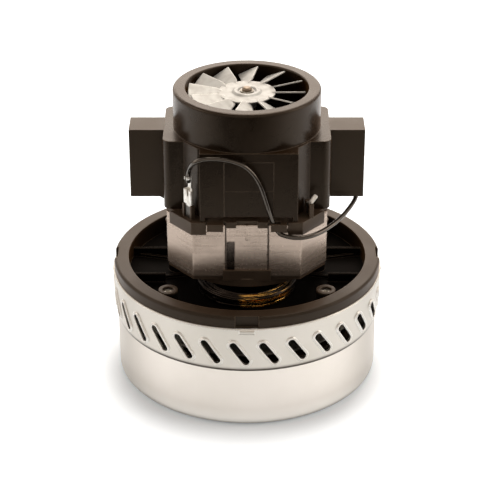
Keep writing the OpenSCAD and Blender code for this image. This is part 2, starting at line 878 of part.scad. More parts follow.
// The way out from the middle of a turn, for setting the tube's rings
function coil_side(q) =
    q < 4 || q >= 21 ? [1, 0, 0] :
    q < 10 ? [cos((q - 4) * 30), -sin((q - 4) * 30), 0] :
    q < 17 ? [-1, 0, 0] : [cos(180 - (q - 17) * 45), -sin(180 - (q - 17) * 45), 0];

coil_turns = coil_layers * layer_turns;
coil_steps = [for (i = [0:coil_turns * coil_rings]) i];
coil_path = [for (i = coil_steps)
    coil_point(i % coil_rings, coil_spread(i / coil_rings), coil_layer(i / coil_rings))];
coil_sides = [for (i = coil_steps) coil_side(i % coil_rings)];

module field_coil() { color("#b5762c") swept_tube(coil_path, coil_sides, strand_d / 2, 6); }

module front_field_coil() { field_coil(); }

module rear_field_coil() { rotate([0, 0, 180]) field_coil(); }

echo(coil_least_gap = least_gap(coil_path, 12, strand_d));

module through_bolts() {
    head = z_floor_low + 0.1;
    color("Silver") bolt_places() {
        disc(bolt_head_r, head, head + bolt_head_h);
        disc(bolt_d / 2, head + bolt_head_h / 2, z_house + bolt_grip);
    }
}

// Brush housing
module house_outline(inset) {
    r = max(lobe_corner_r - inset, 0.5);
    rounded_rect(lobe_w - 2 * inset, lobe_d - 2 * inset, r);
    both_sides() translate([panel_x - panel_w / 2 + inset, -panel_d / 2 + inset])
        square([panel_w - 2 * inset, panel_d / 2 - inset]);
    octagon(-body_inset - inset);
}

module spider_openings() {
    difference() {
        circle(mouth_r - 0.5);
        circle(hub_r - 0.3);
        for (a = [0, 90]) rotate(a) square([mouth_d, spider_w], center = true);
    }
}

module collar_profile() {
    difference() {
        union() {
            translate([collar_r - house_wall, z_shoulder - bulkhead_t / 2])
                square([house_wall, z_top - z_shoulder + bulkhead_t / 2]);
            translate([mouth_r, z_top - collar_lip_t]) square([collar_r - mouth_r, collar_lip_t]);
            translate([mouth_r, z_top - skirt_drop]) square([mouth_skirt_t, skirt_drop]);
        }
        translate([collar_r, z_top]) corner_waste(rim_edge_r, 1, 1);
        translate([mouth_r, z_top]) corner_waste(mouth_edge_r, -1, 1);
    }
}

module brush_holder() {
    block([holder_x0, lobe_w / 2 - house_wall / 2], [-tube_w / 2 - holder_wall, tube_w / 2 + holder_wall],
        [z_brush - tube_h / 2 - holder_wall, z_bulkhead + 0.5]);
    translate([bolt_x, 0, 0]) disc(bolt_boss_r, z_house, z_brush - tube_h / 2);
    block([bolt_x, lobe_w / 2 - house_wall / 2], [-bolt_boss_r, bolt_boss_r], [z_house, z_brush - tube_h / 2]);
}

module panel_relief() {
    block([panel_x - relief_w / 2, panel_x + relief_w / 2], [-panel_d, -panel_d / 2 + relief_t],
        [z_house, z_shoulder - relief_drop]);
    block([panel_x - relief_w / 2, panel_x + relief_w / 2], [-panel_d, -panel_d / 2 + relief_t + relief_step_t],
        [z_house, z_house + relief_step_h]);
}

module brush_housing() {
    color("#35302b") difference() {
        union() {
            difference() {
                translate([0, 0, z_house]) linear_extrude(house_h) house_outline(0);
                translate([0, 0, z_house - over])
                    linear_extrude(house_h - bulkhead_t + over) house_outline(house_wall);
                translate([0, 0, z_bulkhead - over]) linear_extrude(bulkhead_t + 2 * over) spider_openings();
            }
            rotate_extrude() collar_profile();
            disc(hub_r, z_high_bearing, z_shoulder);
            both_sides() brush_holder();
        }
        disc(bearing_d / 2 + fit_gap, z_high_bearing - over, z_high_bearing + bearing_w);
        disc(bearing_lip_r, z_high_bearing, z_shoulder + over);
        both_sides() {
            block([0, lobe_w], [-tube_w / 2 - fit_gap, tube_w / 2 + fit_gap],
                [z_brush - tube_h / 2 - fit_gap, z_brush + tube_h / 2 + fit_gap]);
            translate([bolt_x, 0, 0])
                disc(bolt_d / 2 + fit_gap, z_house - over, z_house + bolt_grip + head_room);
            block([panel_x - panel_w / 2 + house_wall, panel_x + panel_w / 2 - house_wall],
                [-panel_d, -panel_d / 2 + house_wall + over], [z_house - over, z_house + panel_gap]);
            panel_relief();
        }
    }
}

// Brush gear, drawn on the right and turned half round for the left
module brush_cover() {
    difference() {
        block([lobe_w / 2, cover_x], [-cover_w / 2, cover_w / 2], [z_cover, z_shoulder]);
        block([lobe_w / 2 - over, cover_x - cover_wall], [-cover_w / 2 + cover_wall, cover_w / 2 - cover_wall],
            [z_cover + cover_wall, z_shoulder - cover_wall]);
    }
}

module right_brush_cover() {
    color("#2a2521") difference() {
        brush_cover();
        translate([lead_hole_x, lead_hole_y, 0])
            disc(lead_d / 2 + head_gap, z_cover - over, z_cover + cover_wall + over);
    }
}

module left_brush_cover() {
    color("#2a2521") rotate([0, 0, 180]) {
        brush_cover();
        translate([lobe_w / 2, cover_w / 2, z_cover]) rotate([90, 0, 0]) linear_extrude(cover_w)
            polygon([[0, -foot_h], [0, foot_root], [foot_l, foot_root], [foot_l, 0]]);
    }
}

module brush_tube() {
    color("#c9a24a") difference() {
        block([tube_x0, tube_x1], [-tube_w / 2, tube_w / 2], [z_brush - tube_h / 2, z_brush + tube_h / 2]);
        block([tube_x0 - over, tube_x1 + over], [-brush_w / 2 - brush_play, brush_w / 2 + brush_play],
            [z_brush - brush_h / 2 - brush_play, z_brush + brush_h / 2 + brush_play]);
    }
}

module right_brush_tube() { brush_tube(); }

module left_brush_tube() { rotate([0, 0, 180]) brush_tube(); }

module carbon_brush() {
    color("#303030") difference() {
        block([commutator_d / 4, brush_x1], [-brush_w / 2, brush_w / 2],
            [z_brush - brush_h / 2, z_brush + brush_h / 2]);
        disc(brush_x0, z_brush - brush_h, z_brush + brush_h);
    }
}

module right_brush() { carbon_brush(); }

module left_brush() { rotate([0, 0, 180]) carbon_brush(); }

module brush_spring() {
    x0 = brush_x1 + spring_wire_r + head_gap;
    x1 = cover_x - cover_wall - spring_wire_r - head_gap;
    steps = [for (i = [0:spring_turns * 8]) i];
    path = [for (i = steps)
        [x0 + (x1 - x0) * i / len(steps), spring_r * cos(i * 45), z_brush + spring_r * sin(i * 45)]];
    sides = [for (i = steps) [0, cos(i * 45), sin(i * 45)]];
    color("Silver") swept_tube(path, sides, spring_wire_r, 6);
}

module right_brush_spring() { brush_spring(); }

module left_brush_spring() { rotate([0, 0, 180]) brush_spring(); }

// Cooling fan
module fan_blade() {
    root_r = fan_hub_d / 2 - 2;
    neck_r = fan_hub_d / 2 + 1;
    tip = blade_chord / 2;
    root = blade_root / 2;
    intersection() {
        translate([0, 0, z_fan - fan_t / 2]) rotate([-blade_pitch, 0, 0])
            linear_extrude(fan_t, center = true)
            polygon([[root_r, -root / 3], [neck_r, -root], [fan_d / 2 + 2, -tip], [fan_d / 2 + 2, tip],
                [neck_r, root], [root_r, root / 3]]);
        disc(fan_d / 2, z_fan - blade_chord, z_fan + blade_chord);
    }
}

module hub_ridge_profile() {
    root = z_fan - fan_t / 2;
    top = z_fan + hub_ridge_h;
    polygon([[hub_ridge_r[0], root], [hub_ridge_r[1], top], [hub_ridge_r[2], top], [hub_ridge_r[3], root]]);
}

module cooling_fan() {
    color("WhiteSmoke") difference() {
        union() {
            disc(fan_hub_d / 2, z_fan - fan_t, z_fan);
            disc(fan_boss_r, z_fan_boss, z_fan);
            rotate_extrude() hub_ridge_profile();
            for (i = [0:blade_count - 1]) rotate([0, 0, blade_phase + i * 360 / blade_count]) fan_blade();
        }
        disc(shaft_end_d / 2 + fit_gap, z_fan_boss - over, z_fan + over);
    }
}

module fan_lock_ring() {
    color("White") tube(lock_ring_r, shaft_end_d / 2 + fit_gap, z_fan, z_fan + lock_ring_h);
}

// Terminals: local x runs along the slanted corner, and local -y points outwards
module terminal_place(x, y, turn) { translate([x, y, 0]) rotate([0, 0, turn]) children(); }

module terminal_places() {
    terminal_place(-tab_x, -tab_y, -90 + core_angle) children();
    terminal_place(bent_tab_x, -bent_tab_y, bent_tab_turn) children();
    terminal_place(-tab_x, tab_y, 180 + 90 - core_angle) children();
    terminal_place(tab_x, tab_y, 180 - 90 + core_angle) children();
}

module straight_tab() {
    block([-tab_w / 2, tab_w / 2], [-tab_t / 2, tab_t / 2], [z_house, z_house + tab_h]);
}

module bent_tab() {
    lean = [sin(tab_lean), cos(tab_lean)];
    mitre = tab_t / 2 * tan(tab_lean / 2);
    outer = [tab_t / 2, tab_bend_h - mitre];
    tip = outer + bent_tab_l * lean;
    translate([-tab_w / 2, 0, z_house]) rotate([90, 0, -90]) mirror([0, 0, 1]) linear_extrude(tab_w)
        polygon([[-tab_t / 2, 0], [tab_t / 2, 0], outer, tip, tip + tab_t * [-lean[1], lean[0]],
            [-tab_t / 2, tab_bend_h + mitre]]);
}

module terminal_tabs() {
    color("Silver") {
        terminal_place(-tab_x, -tab_y, -90 + core_angle) straight_tab();
        terminal_place(bent_tab_x, -bent_tab_y, bent_tab_turn) bent_tab();
        terminal_place(-tab_x, tab_y, 180 + 90 - core_angle) straight_tab();
        terminal_place(tab_x, tab_y, 180 - 90 + core_angle) straight_tab();
    }
}

connector_z = z_house + post_h + 0.4;
connector_body_h = 8;
connector_crimp_h = 7.5;
connector_wall = 0.45;
connector_side_gap = 0.25;
connector_face_gap = 0.3;
connector_neck_half = 1.5;
connector_neck_h = 2.5;
connector_stop = 0.5;

module lead_connector() {
    z1 = connector_z + connector_body_h;
    z2 = z1 + connector_crimp_h;
    inner_w = tab_w / 2 + connector_side_gap;
    inner_t = tab_t / 2 + connector_face_gap;
    outer_t = inner_t + connector_wall;
    color("Gainsboro") terminal_place(-tab_x, -tab_y, -90 + core_angle) difference() {
        union() {
            block([-inner_w - connector_wall, inner_w + connector_wall], [-outer_t, outer_t],
                [connector_z, z1]);
            block([-connector_neck_half, connector_neck_half], [-outer_t, outer_t],
                [z1 - connector_stop, z1 + connector_neck_h]);
            disc(lead_d / 2 + connector_wall, z1 + connector_neck_h - connector_stop, z2);
        }
        block([-inner_w, inner_w], [-inner_t, inner_t], [connector_z - over, z1 - connector_stop]);
        disc(lead_d / 2 + fit_gap, z1 + connector_neck_h + over, z2 + over);
    }
}

// Jumper lead: up from the connector, over the front panel, behind a hook and round to the right brush cover.
// Each stretch is measured from what it follows: the connector, the core's front, and the hole in the cover.
lead_start = [-tab_x, -tab_y, connector_z + connector_body_h + 4];
lead_front = [0, -core_d / 2, z_house];
lead_end = [lead_hole_x, lead_hole_y, z_cover];
lead_route = concat(
    [for (p = [[0, 0, 0], [0, 0, 3.5], [0.5, -1.2, 7.2]]) lead_start + p],
    [for (p = [[-28.4, 0.6, 31.4], [-26.2, -2.2, 34.6], [-22, -2.8, 36.4], [-16, -3, 36.8], [-9, -2.9, 35.8],
        [-2, -2.8, 33], [3.2, -2.6, 28], [6.8, -2.4, 21.4], [9.2, -2.3, 14.2], [11.3, -2.2, 7],
        [12.8, -1.7, 2], [14, -1.35, -1], [15.2, -1.35, -3.6], [17, -1.7, -6], [20, -2.8, -6.9],
        [24, -3.8, -7.2], [29, -3.6, -7.3]]) lead_front + p],
    [for (p = [[-23.8, -36, -7.3], [-18.3, -31, -7.1], [-12.8, -24.4, -6.5], [-7.8, -17, -5.5],
        [-3.8, -9.6, -4.3], [-1.1, -3.6, -3.2], [-0.1, -0.8, -2.1], [0, 0, -0.3], [0, 0, 2]]) lead_end + p]);
lead_division = 2;

function curve_point(a, b, c, d, t) =
    0.5 * ((2 * b) + (c - a) * t + (2 * a - 5 * b + 4 * c - d) * t * t + (3 * b - a - 3 * c + d) * t * t * t);
function smooth_route(p, n) = concat(
    [for (i = [0:len(p) - 2], k = [0:n - 1])
        curve_point(p[max(i - 1, 0)], p[i], p[i + 1], p[min(i + 2, len(p) - 1)], k / n)], [p[len(p) - 1]]);

module jumper_lead() {
    path = smooth_route(lead_route, lead_division);
    color("#1d1a18") swept_tube(path, [for (p = path) [0.3, -1, 0.4]], lead_d / 2, 8);
}

lower_can();
slotted_band();
motor_bracket();
bracket_screws();
turbine_plate();
stage_diffuser();
first_impeller();
second_impeller();
stage_spacer();
bearing_spacer();
impeller_washer();
impeller_nut();
shaft();
lower_bearing_outer();
lower_bearing_balls();
lower_bearing_inner();
upper_bearing_outer();
upper_bearing_balls();
upper_bearing_inner();
stator_core();
lower_insulator();
upper_insulator();
front_field_coil();
rear_field_coil();
armature_core();
armature_winding();
commutator();
through_bolts();
brush_housing();
right_brush_cover();
left_brush_cover();
right_brush_tube();
left_brush_tube();
right_brush();
left_brush();
right_brush_spring();
left_brush_spring();
cooling_fan();
fan_lock_ring();
terminal_tabs();
lead_connector();
jumper_lead();
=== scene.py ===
"""Looks of the vacuum motor unit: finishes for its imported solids, and its wound, thin and soft pieces."""
import logging
import math
import random
from dataclasses import dataclass
from enum import Enum
from typing import Any, Callable, Dict, List, Optional, Sequence, Tuple, Union

import bpy
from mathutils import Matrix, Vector


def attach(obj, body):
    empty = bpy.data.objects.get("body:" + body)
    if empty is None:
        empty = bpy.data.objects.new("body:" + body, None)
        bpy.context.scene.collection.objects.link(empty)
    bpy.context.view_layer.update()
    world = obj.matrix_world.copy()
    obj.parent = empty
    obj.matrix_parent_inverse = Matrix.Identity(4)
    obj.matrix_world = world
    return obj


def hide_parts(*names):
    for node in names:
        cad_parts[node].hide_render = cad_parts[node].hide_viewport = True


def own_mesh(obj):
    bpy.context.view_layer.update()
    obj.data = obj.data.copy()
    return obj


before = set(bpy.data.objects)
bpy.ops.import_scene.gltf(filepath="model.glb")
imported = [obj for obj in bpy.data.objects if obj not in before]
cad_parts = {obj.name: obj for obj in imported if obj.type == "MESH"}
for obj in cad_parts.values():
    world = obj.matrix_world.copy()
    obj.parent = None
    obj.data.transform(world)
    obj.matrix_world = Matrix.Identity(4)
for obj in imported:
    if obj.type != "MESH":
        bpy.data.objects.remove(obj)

Point = Tuple[float, float, float]
Colour = Tuple[float, float, float, float]
Number = Union[float, "Value"]

LOG = logging.getLogger("vacuum_motor")
MM = 0.001
# How near a place a point counts as there, in millimetres, and how much of a direction lies along an axis.
NEAR = 0.1
ALONG = 0.9
PHOTO_WIDTH = 500
SHARP_CORNER = math.radians(50)
SMOOTH_SHEET = math.radians(40)
SMOOTH_WIRE = math.radians(60)
EDGE_SAMPLES = 6
BLACK: Colour = (0.0, 0.0, 0.0, 1.0)
WHITE: Colour = (1.0, 1.0, 1.0, 1.0)
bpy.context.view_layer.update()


class Body(Enum):
    """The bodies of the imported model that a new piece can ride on."""

    FRAME = "frame"
    ROTOR = "rotor"


class Slot(Enum):
    """Names of material slots for the new pieces' finishes; settle is passed one, and does not use it."""

    COPPER_WIRE = "copper_wire"
    SPRING_STEEL = "bearing_steel"
    LEAD_RUBBER = "lead_rubber"
    TINNED_BRASS = "tinned_brass"


class Element(Enum):
    """What is picked on a mesh in edit mode."""

    POINT = "VERT"
    EDGE = "EDGE"
    FACE = "FACE"


class Side(Enum):
    """A side of the motor, as the sign of its X."""

    RIGHT = 1
    LEFT = -1


def tint(red: int, green: int, blue: int) -> Colour:
    """A colour as seen on a screen, 0 to 255, turned into linear light.

    Args:
        red: the red part.
        green: the green part.
        blue: the blue part.

    Returns:
        The linear colour with full alpha.
    """
    shares = [part / 255 for part in (red, green, blue)]
    linear = [s / 12.92 if s <= 0.04045 else ((s + 0.055) / 1.055) ** 2.4 for s in shares]
    return (linear[0], linear[1], linear[2], 1.0)


class Value:
    """A number that varies over a surface or the sky. Arithmetic on it adds Math nodes."""

    def __init__(self, nodes: "Nodes", socket: bpy.types.NodeSocket) -> None:
        """Hold one output socket of a tree of nodes."""
        self.nodes = nodes
        self.socket = socket

    def _math(self, operation: str, first: Number, second: Number = 0.0) -> "Value":
        """Add one Math node and return its result."""
        made = self.nodes.node("ShaderNodeMath", {"operation": operation}, {0: first, 1: second})
        return Value(self.nodes, made.outputs[0])

    def __add__(self, other: Number) -> "Value":
        """This value plus another."""
        return self._math("ADD", self, other)

    __radd__ = __add__

    def __sub__(self, other: Number) -> "Value":
        """This value less another."""
        return self._math("SUBTRACT", self, other)

    def __rsub__(self, other: Number) -> "Value":
        """Another value less this one."""
        return self._math("SUBTRACT", other, self)

    def __mul__(self, other: Number) -> "Value":
        """This value times another."""
        return self._math("MULTIPLY", self, other)

    __rmul__ = __mul__

    def __truediv__(self, other: Number) -> "Value":
        """This value divided by another."""
        return self._math("DIVIDE", self, other)

    def whole(self) -> "Value":
        """The whole part of this value."""
        return self._math("FLOOR", self)

    def part(self) -> "Value":
        """What this value has beyond its whole part."""
        return self._math("FRACT", self)

    def most(self, other: Number) -> "Value":
        """The larger of this value and another."""
        return self._math("MAXIMUM", self, other)

    def size(self) -> "Value":
        """This value without its sign."""
        return self._math("ABSOLUTE", self)

    def root(self) -> "Value":
        """The square root of this value."""
        return self._math("SQRT", self)

    def swing(self, amount: float) -> "Value":
        """Noise of about 0.5, turned into a change of up to half the amount either way."""
        return (self - 0.5) * amount

    def step(self, low: float, high: float) -> "Value":
        """Rise smoothly from 0 at low to 1 at high.

        Args:
            low: the value that gives 0.
            high: the value that gives 1.

        Returns:
            The clamped, eased value.
        """
        made = self.nodes.node(
            "ShaderNodeMapRange",
            {"interpolation_type": "SMOOTHSTEP"},
            {"Value": self, "From Min": low, "From Max": high},
        )
        return Value(self.nodes, made.outputs[0])


class Nodes:
    """A tree of shader nodes: a material's or the world's."""

    def __init__(self, tree: bpy.types.NodeTree) -> None:
        """Take over a tree and empty it."""
        self.tree = tree
        self.tree.nodes.clear()

    def node(
        self,
        kind: str,
        settings: Optional[Dict[str, Any]] = None,
        sockets: Optional[Dict[Union[str, int], Any]] = None,
    ) -> bpy.types.Node:
        """Add a node, set it up, and feed its sockets.

        Args:
            kind: the node's type.
            settings: the node's own properties, which are set first.
            sockets: a constant or a Value for each input, by name or number.

        Returns:
            The new node.
        """
        made = self.tree.nodes.new(kind)
        for name, setting in (settings or {}).items():
            setattr(made, name, setting)
        for name, value in (sockets or {}).items():
            if isinstance(value, Value):
                self.tree.links.new(value.socket, made.inputs[name])
            else:
                made.inputs[name].default_value = value
        return made

    def rays(self, *names: str) -> Value:
        """1 for rays of any of these kinds, and 0 for others."""
        outputs = self.node("ShaderNodeLightPath").outputs
        found = Value(self, outputs[names[0]])
        for name in names[1:]:
            found = found.most(Value(self, outputs[name]))
        return found

    def mix(self, share: Number, first: Union[Colour, Value], second: Union[Colour, Value]) -> Value:
        """A colour between two others.

        Args:
            share: 0 gives the first colour and 1 the second.
            first: a colour or the result of another mix.
            second: a colour or the result of another mix.

        Returns:
            The mixed colour.
        """
        made = self.node("ShaderNodeMix", {"data_type": "RGBA"}, {0: share, 6: first, 7: second})
        return Value(self, made.outputs[2])


class Surface(Nodes):
    """The nodes of one material, which end in a Principled shader."""

    def __init__(self, name: str) -> None:
        """Start a material with a shader and its output."""
        self.material = bpy.data.materials.new(name)
        self.material.use_nodes = True
        super().__init__(self.material.node_tree)
        self.shader = self.node("ShaderNodeBsdfPrincipled")
        shaded = Value(self, self.shader.outputs[0])
        self.output = self.node("ShaderNodeOutputMaterial", sockets={"Surface": shaded})
        self.place = Value(self, self.node("ShaderNodeTexCoord").outputs["Object"])

    def vector(self, operation: str, *places: Any) -> bpy.types.Node:
        """Add one Vector Math node, fed with one or two places."""
        return self.node("ShaderNodeVectorMath", {"operation": operation}, dict(enumerate(places)))

    def noise(
        self,
        grain: float,
        detail: float = 2.0,
        stretch: Point = (1.0, 1.0, 1.0),
        place: Optional[Value] = None,
    ) -> Value:
        """Cloudy noise in the piece's own space.

        Args:
            grain: the size of a cloud, in metres.
            detail: how many finer layers it has.
            stretch: how much finer the cloud is along each axis.
            place: where each point is taken to be, if not where it is.

        Returns:
            The noise, about 0.5 on average.
        """
        scaled = Value(self, self.vector("MULTIPLY", place or self.place, Vector(stretch) / grain).outputs[0])
        sockets = {"Vector": scaled, "Scale": 1.0, "Detail": detail}
        return Value(self, self.node("ShaderNodeTexNoise", sockets=sockets).outputs[0])

    def along(self, axis: str) -> Value:
        """The place on the piece along X, Y or Z, in metres."""
        return Value(self, self.node("ShaderNodeSeparateXYZ", sockets={0: self.place}).outputs[axis])

    def below(self, top: float, fade: float) -> Value:
        """1 under a height and 0 over it.

        Args:
            top: the height, in metres.
            fade: how far under it the change starts.

        Returns:
            The eased share.
        """
        return 1.0 - self.along("Z").step(top - fade, top)

    def off_axis(self) -> Value:
        """The distance from the rotor's axis, in metres."""
        x, y = self.along("X"), self.along("Y")
        return (x * x + y * y).root()

    def joined(self, x: Number, y: Number, z: Number) -> Value:
        """A place made of three numbers."""
        return Value(self, self.node("ShaderNodeCombineXYZ", sockets={"X": x, "Y": y, "Z": z}).outputs[0])

    def random_of(self, number: Value) -> Value:
        """A steady random share, 0 to 1, for each whole number."""
        made = self.node("ShaderNodeTexWhiteNoise", {"noise_dimensions": "1D"}, {"W": number})
        return Value(self, made.outputs["Value"])

    def rounded(self, radius: float) -> Value:
        """The surface's normal with its edges rounded."""
        made = self.node("ShaderNodeBevel", {"samples": EDGE_SAMPLES}, {"Radius": radius})
        return Value(self, made.outputs[0])

    def near_edge(self, radius: float) -> Value:
        """How near an edge is, from 0 on a flat face: the mask of pale edges, partly wear and partly painted
        highlight.
        """
        flat = Value(self, self.node("ShaderNodeNewGeometry").outputs["Normal"])
        agreement = self.vector("DOT_PRODUCT", self.rounded(radius), flat).outputs["Value"]
        return 1.0 - Value(self, agreement)

    def turned_away(self) -> Value:
        """0 where the surface faces the viewer, and 1 where it is seen edge on."""
        return Value(self, self.node("ShaderNodeLayerWeight", sockets={"Blend": 0.5}).outputs["Facing"])

    def bump(self, height: Value, depth: float, normal: Optional[Value] = None) -> Value:
        """A normal that follows a height.

        Args:
            height: 0 to 1 over the surface.
            depth: what a height of 1 is, in metres.
            normal: the normal that it starts from.

        Returns:
            The new normal.
        """
        sockets: Dict[Union[str, int], Any] = {"Height": height, "Distance": depth, "Strength": 1.0}
        if normal is not None:
            sockets["Normal"] = normal
        return Value(self, self.node("ShaderNodeBump", sockets=sockets).outputs[0])

    def tilted(self, normal: Value, share: Number, slope: float) -> Value:
        """A normal that leans downwards.

        Args:
            normal: the normal that it starts from.
            share: how much of the slope it takes, 0 to 1.
            slope: the drop for each unit outwards.

        Returns:
            The new normal.
        """
        lean = self.joined(0.0, 0.0, share * -slope)
        summed = Value(self, self.vector("ADD", normal, lean).outputs[0])
        return Value(self, self.vector("NORMALIZE", summed).outputs[0])

    def set(self, **sockets: Any) -> None:
        """Feed the shader's sockets, named with _ for a space."""
        self.feed(self.shader, sockets)

    def feed(self, shader: bpy.types.Node, sockets: Dict[str, Any]) -> None:
        """Feed one shader's sockets, named with _ for a space."""
        for name, value in sockets.items():
            socket = shader.inputs[name.replace("_", " ")]
            if isinstance(value, Value):
                self.tree.links.new(value.socket, socket)
            else:
                socket.default_value = value

    def overlay(self, share: Value, **sockets: Any) -> None:
        """Lay a second shader over the first.

        Args:
            share: how much of the second shows, 0 to 1.
            sockets: the second shader's inputs, named with _ for a space.
        """
        second = self.node("ShaderNodeBsdfPrincipled")
        self.feed(second, sockets)
        both = (Value(self, shader.outputs[0]) for shader in (self.shader, second))
        mixed = self.node("ShaderNodeMixShader", sockets=dict(enumerate((share, *both))))
        self.tree.links.new(mixed.outputs[0], self.output.inputs["Surface"])


@dataclass(frozen=True)
class Finish:
    """What every finish has. Lengths are in metres.

    Attributes:
        name: the material's name.
        tone: its main tone.
        shade: the tone that it varies to.
        roughness: how rough it is, 0 to 1.
        edge: the radius of its edges.
    """

    name: str
    tone: Colour
    shade: Colour
    roughness: float
    edge: float = 0.0003

    def paint(self, surface: Surface) -> None:
        """Lay this finish on a new material."""
        raise NotImplementedError

    def material(self) -> bpy.types.Material:
        """The finish's material, made once."""
        found = bpy.data.materials.get(self.name)
        if found is None:
            surface = Surface(self.name)
            self.paint(surface)
            found = surface.material
        return found


WARM_GLOSS: Colour = (1.0, 0.8, 0.62, 1.0)
WARM_SHEEN: Colour = (1.0, 0.45, 0.12, 1.0)
SHEATH_GLOSS: Colour = (1.0, 0.88, 0.76, 1.0)
WORN_AND_HIGHLIT_PLASTIC = tint(118, 103, 88)
WELL_SHADE = (tint(7, 6, 5), tint(11, 9, 8))
HIGHLIGHT_SHEET = tint(255, 254, 250)
BRIGHTENED_SHEET = tint(253, 249, 243)
EDGE_SHADE_SHEET = tint(150, 144, 136)
SEAM_SHADE = tint(62, 53, 44)
SHEET_LINE = tint(74, 67, 60)
WINDOW_SHADE = tint(44, 37, 31)
CUT_EDGE_AND_HIGHLIGHT = tint(250, 248, 242)
ROOT_DARK = tint(38, 30, 22)


@dataclass(frozen=True)
class MouldedPlastic(Finish):
    """Warm black moulding with a fine eroded grain, cloudy flow marks, pale edges that are partly wear and
    partly painted highlight, and painted shade in its hollows.

    Attributes:
        grain: the size of the grain.
        grain_depth: how deep the grain is.
        gloss: how strongly it reflects.
        rub_and_highlight: how pale the edges are, partly wear and partly painted highlight, 0 to 1.
        well_shaded_below: the height that painted shade in the well reaches, or 0 for none.
        well_shaded_within: how far from the rotor's axis that painted shade reaches.
        warmth: how strong the brown sheen is.
        flow: the size of the flow marks.
        well_shade_fade: what that painted shade fades out over, outwards and upwards.
    """

    grain: float = 0.0004
    grain_depth: float = 0.00002
    gloss: float = 0.38
    rub_and_highlight: float = 0.45
    well_shaded_below: float = 0.0
    well_shaded_within: float = 0.0648
    warmth: float = 0.09
    flow: float = 0.02
    well_shade_fade: Tuple[float, float] = (0.0004, 0.0012)

    def paint(self, surface: Surface) -> None:
        """Lay this finish on a new material."""
        cloud = surface.noise(self.flow, 4.0).step(0.35, 0.65)
        grain = surface.noise(self.grain, 3.0)
        # rubbed marks the edges, made pale partly by wear and partly as a painted highlight.
        rubbed = surface.near_edge(self.edge).step(0.0, 0.25)
        tone = surface.mix(cloud, self.shade, self.tone)
        surface.set(
            Base_Color=surface.mix(rubbed * self.rub_and_highlight, tone, WORN_AND_HIGHLIT_PLASTIC),
            Roughness=self.roughness + cloud * 0.07 + grain.swing(0.12) - rubbed * 0.08,
            Normal=surface.bump(grain, self.grain_depth, surface.rounded(self.edge)),
            Specular_IOR_Level=self.gloss,
            Specular_Tint=WARM_GLOSS,
            Sheen_Weight=self.warmth,
            Sheen_Tint=WARM_SHEEN,
            Sheen_Roughness=0.5,
        )
        # A dark matt layer over the bracket's well, below a height and near the axis: painted shade. Pale
        # edges show through it as painted highlights.
        if self.well_shaded_below:
            outwards, upwards = self.well_shade_fade
            inside = 1.0 - surface.off_axis().step(self.well_shaded_within - outwards, self.well_shaded_within)
            well_shade = inside * surface.below(self.well_shaded_below, upwards)
            surface.overlay(
                well_shade * (0.95 - rubbed * 0.6),
                Base_Color=surface.mix(cloud, *WELL_SHADE),
                Roughness=0.9,
                Specular_IOR_Level=0.02,
            )


@dataclass(frozen=True)
class SheetMetal(Finish):
    """Satin drawn sheet: fine upright drawing streaks and faint patches, with painted highlights on its
    edges, painted shade in its seam and where it is seen edge on, and a painted brighter lower corner.

    Attributes:
        streak: how wide a drawing streak is.
        streak_length: how long it is.
        metallic: how much of it is bare metal, 0 to 1.
        seam_top: the height that painted shade in the seam reaches.
        seam_height: what that painted shade fades out over.
        edge_shading: how much painted shade it gets where it is seen edge on, 0 to 1.
        brightened_below: the height that its painted brighter lower corner reaches.
        brightening_fade: what that painted brightening fades out over.
        speckle: the size of the speckles.
        patch: the size of the patches.
        relief: the height of the streaks.
    """

    streak: float = 0.0006
    streak_length: float = 0.02
    metallic: float = 1.0
    seam_top: float = 0.0
    seam_height: float = 0.0026
    edge_shading: float = 0.0
    brightened_below: float = 0.0
    brightening_fade: float = 0.009
    speckle: float = 0.0005
    patch: float = 0.03
    relief: float = 0.000006

    def paint(self, surface: Surface) -> None:
        """Lay this finish on a new material."""
        streaks = surface.noise(self.streak, 3.0, (1.0, 1.0, self.streak / self.streak_length))
        speckle = surface.noise(self.speckle, 2.0)
        patch = surface.noise(self.patch, 3.0)
        # bright marks the edges, which get a painted highlight.
        bright = surface.near_edge(self.edge).step(0.0, 0.2)
        # dull is painted shade where the surface is seen edge on.
        dull = surface.turned_away().step(0.3, 0.75) * self.edge_shading
        tone = surface.mix(patch.step(0.3, 0.7), self.shade, self.tone)
        # The bottom is painted brighter, standing in for light reflected there.
        tone = surface.mix(surface.below(self.brightened_below, self.brightening_fade), tone, BRIGHTENED_SHEET)
        tone = surface.mix(dull, tone, EDGE_SHADE_SHEET)
        tone = surface.mix(bright * 0.9, tone, HIGHLIGHT_SHEET)
        # Painted shade in the seam below seam_top.
        seam_shade = surface.below(self.seam_top, self.seam_height)
        surface.set(
            Base_Color=surface.mix(seam_shade * 0.95, tone, SEAM_SHADE),
            Metallic=self.metallic - bright * 0.3,
            Roughness=self.roughness + streaks.swing(0.12) + speckle.swing(0.1) + patch.swing(0.1),
            Normal=surface.bump(streaks * 0.6 + speckle * 0.4, self.relief, surface.rounded(self.edge)),
        )


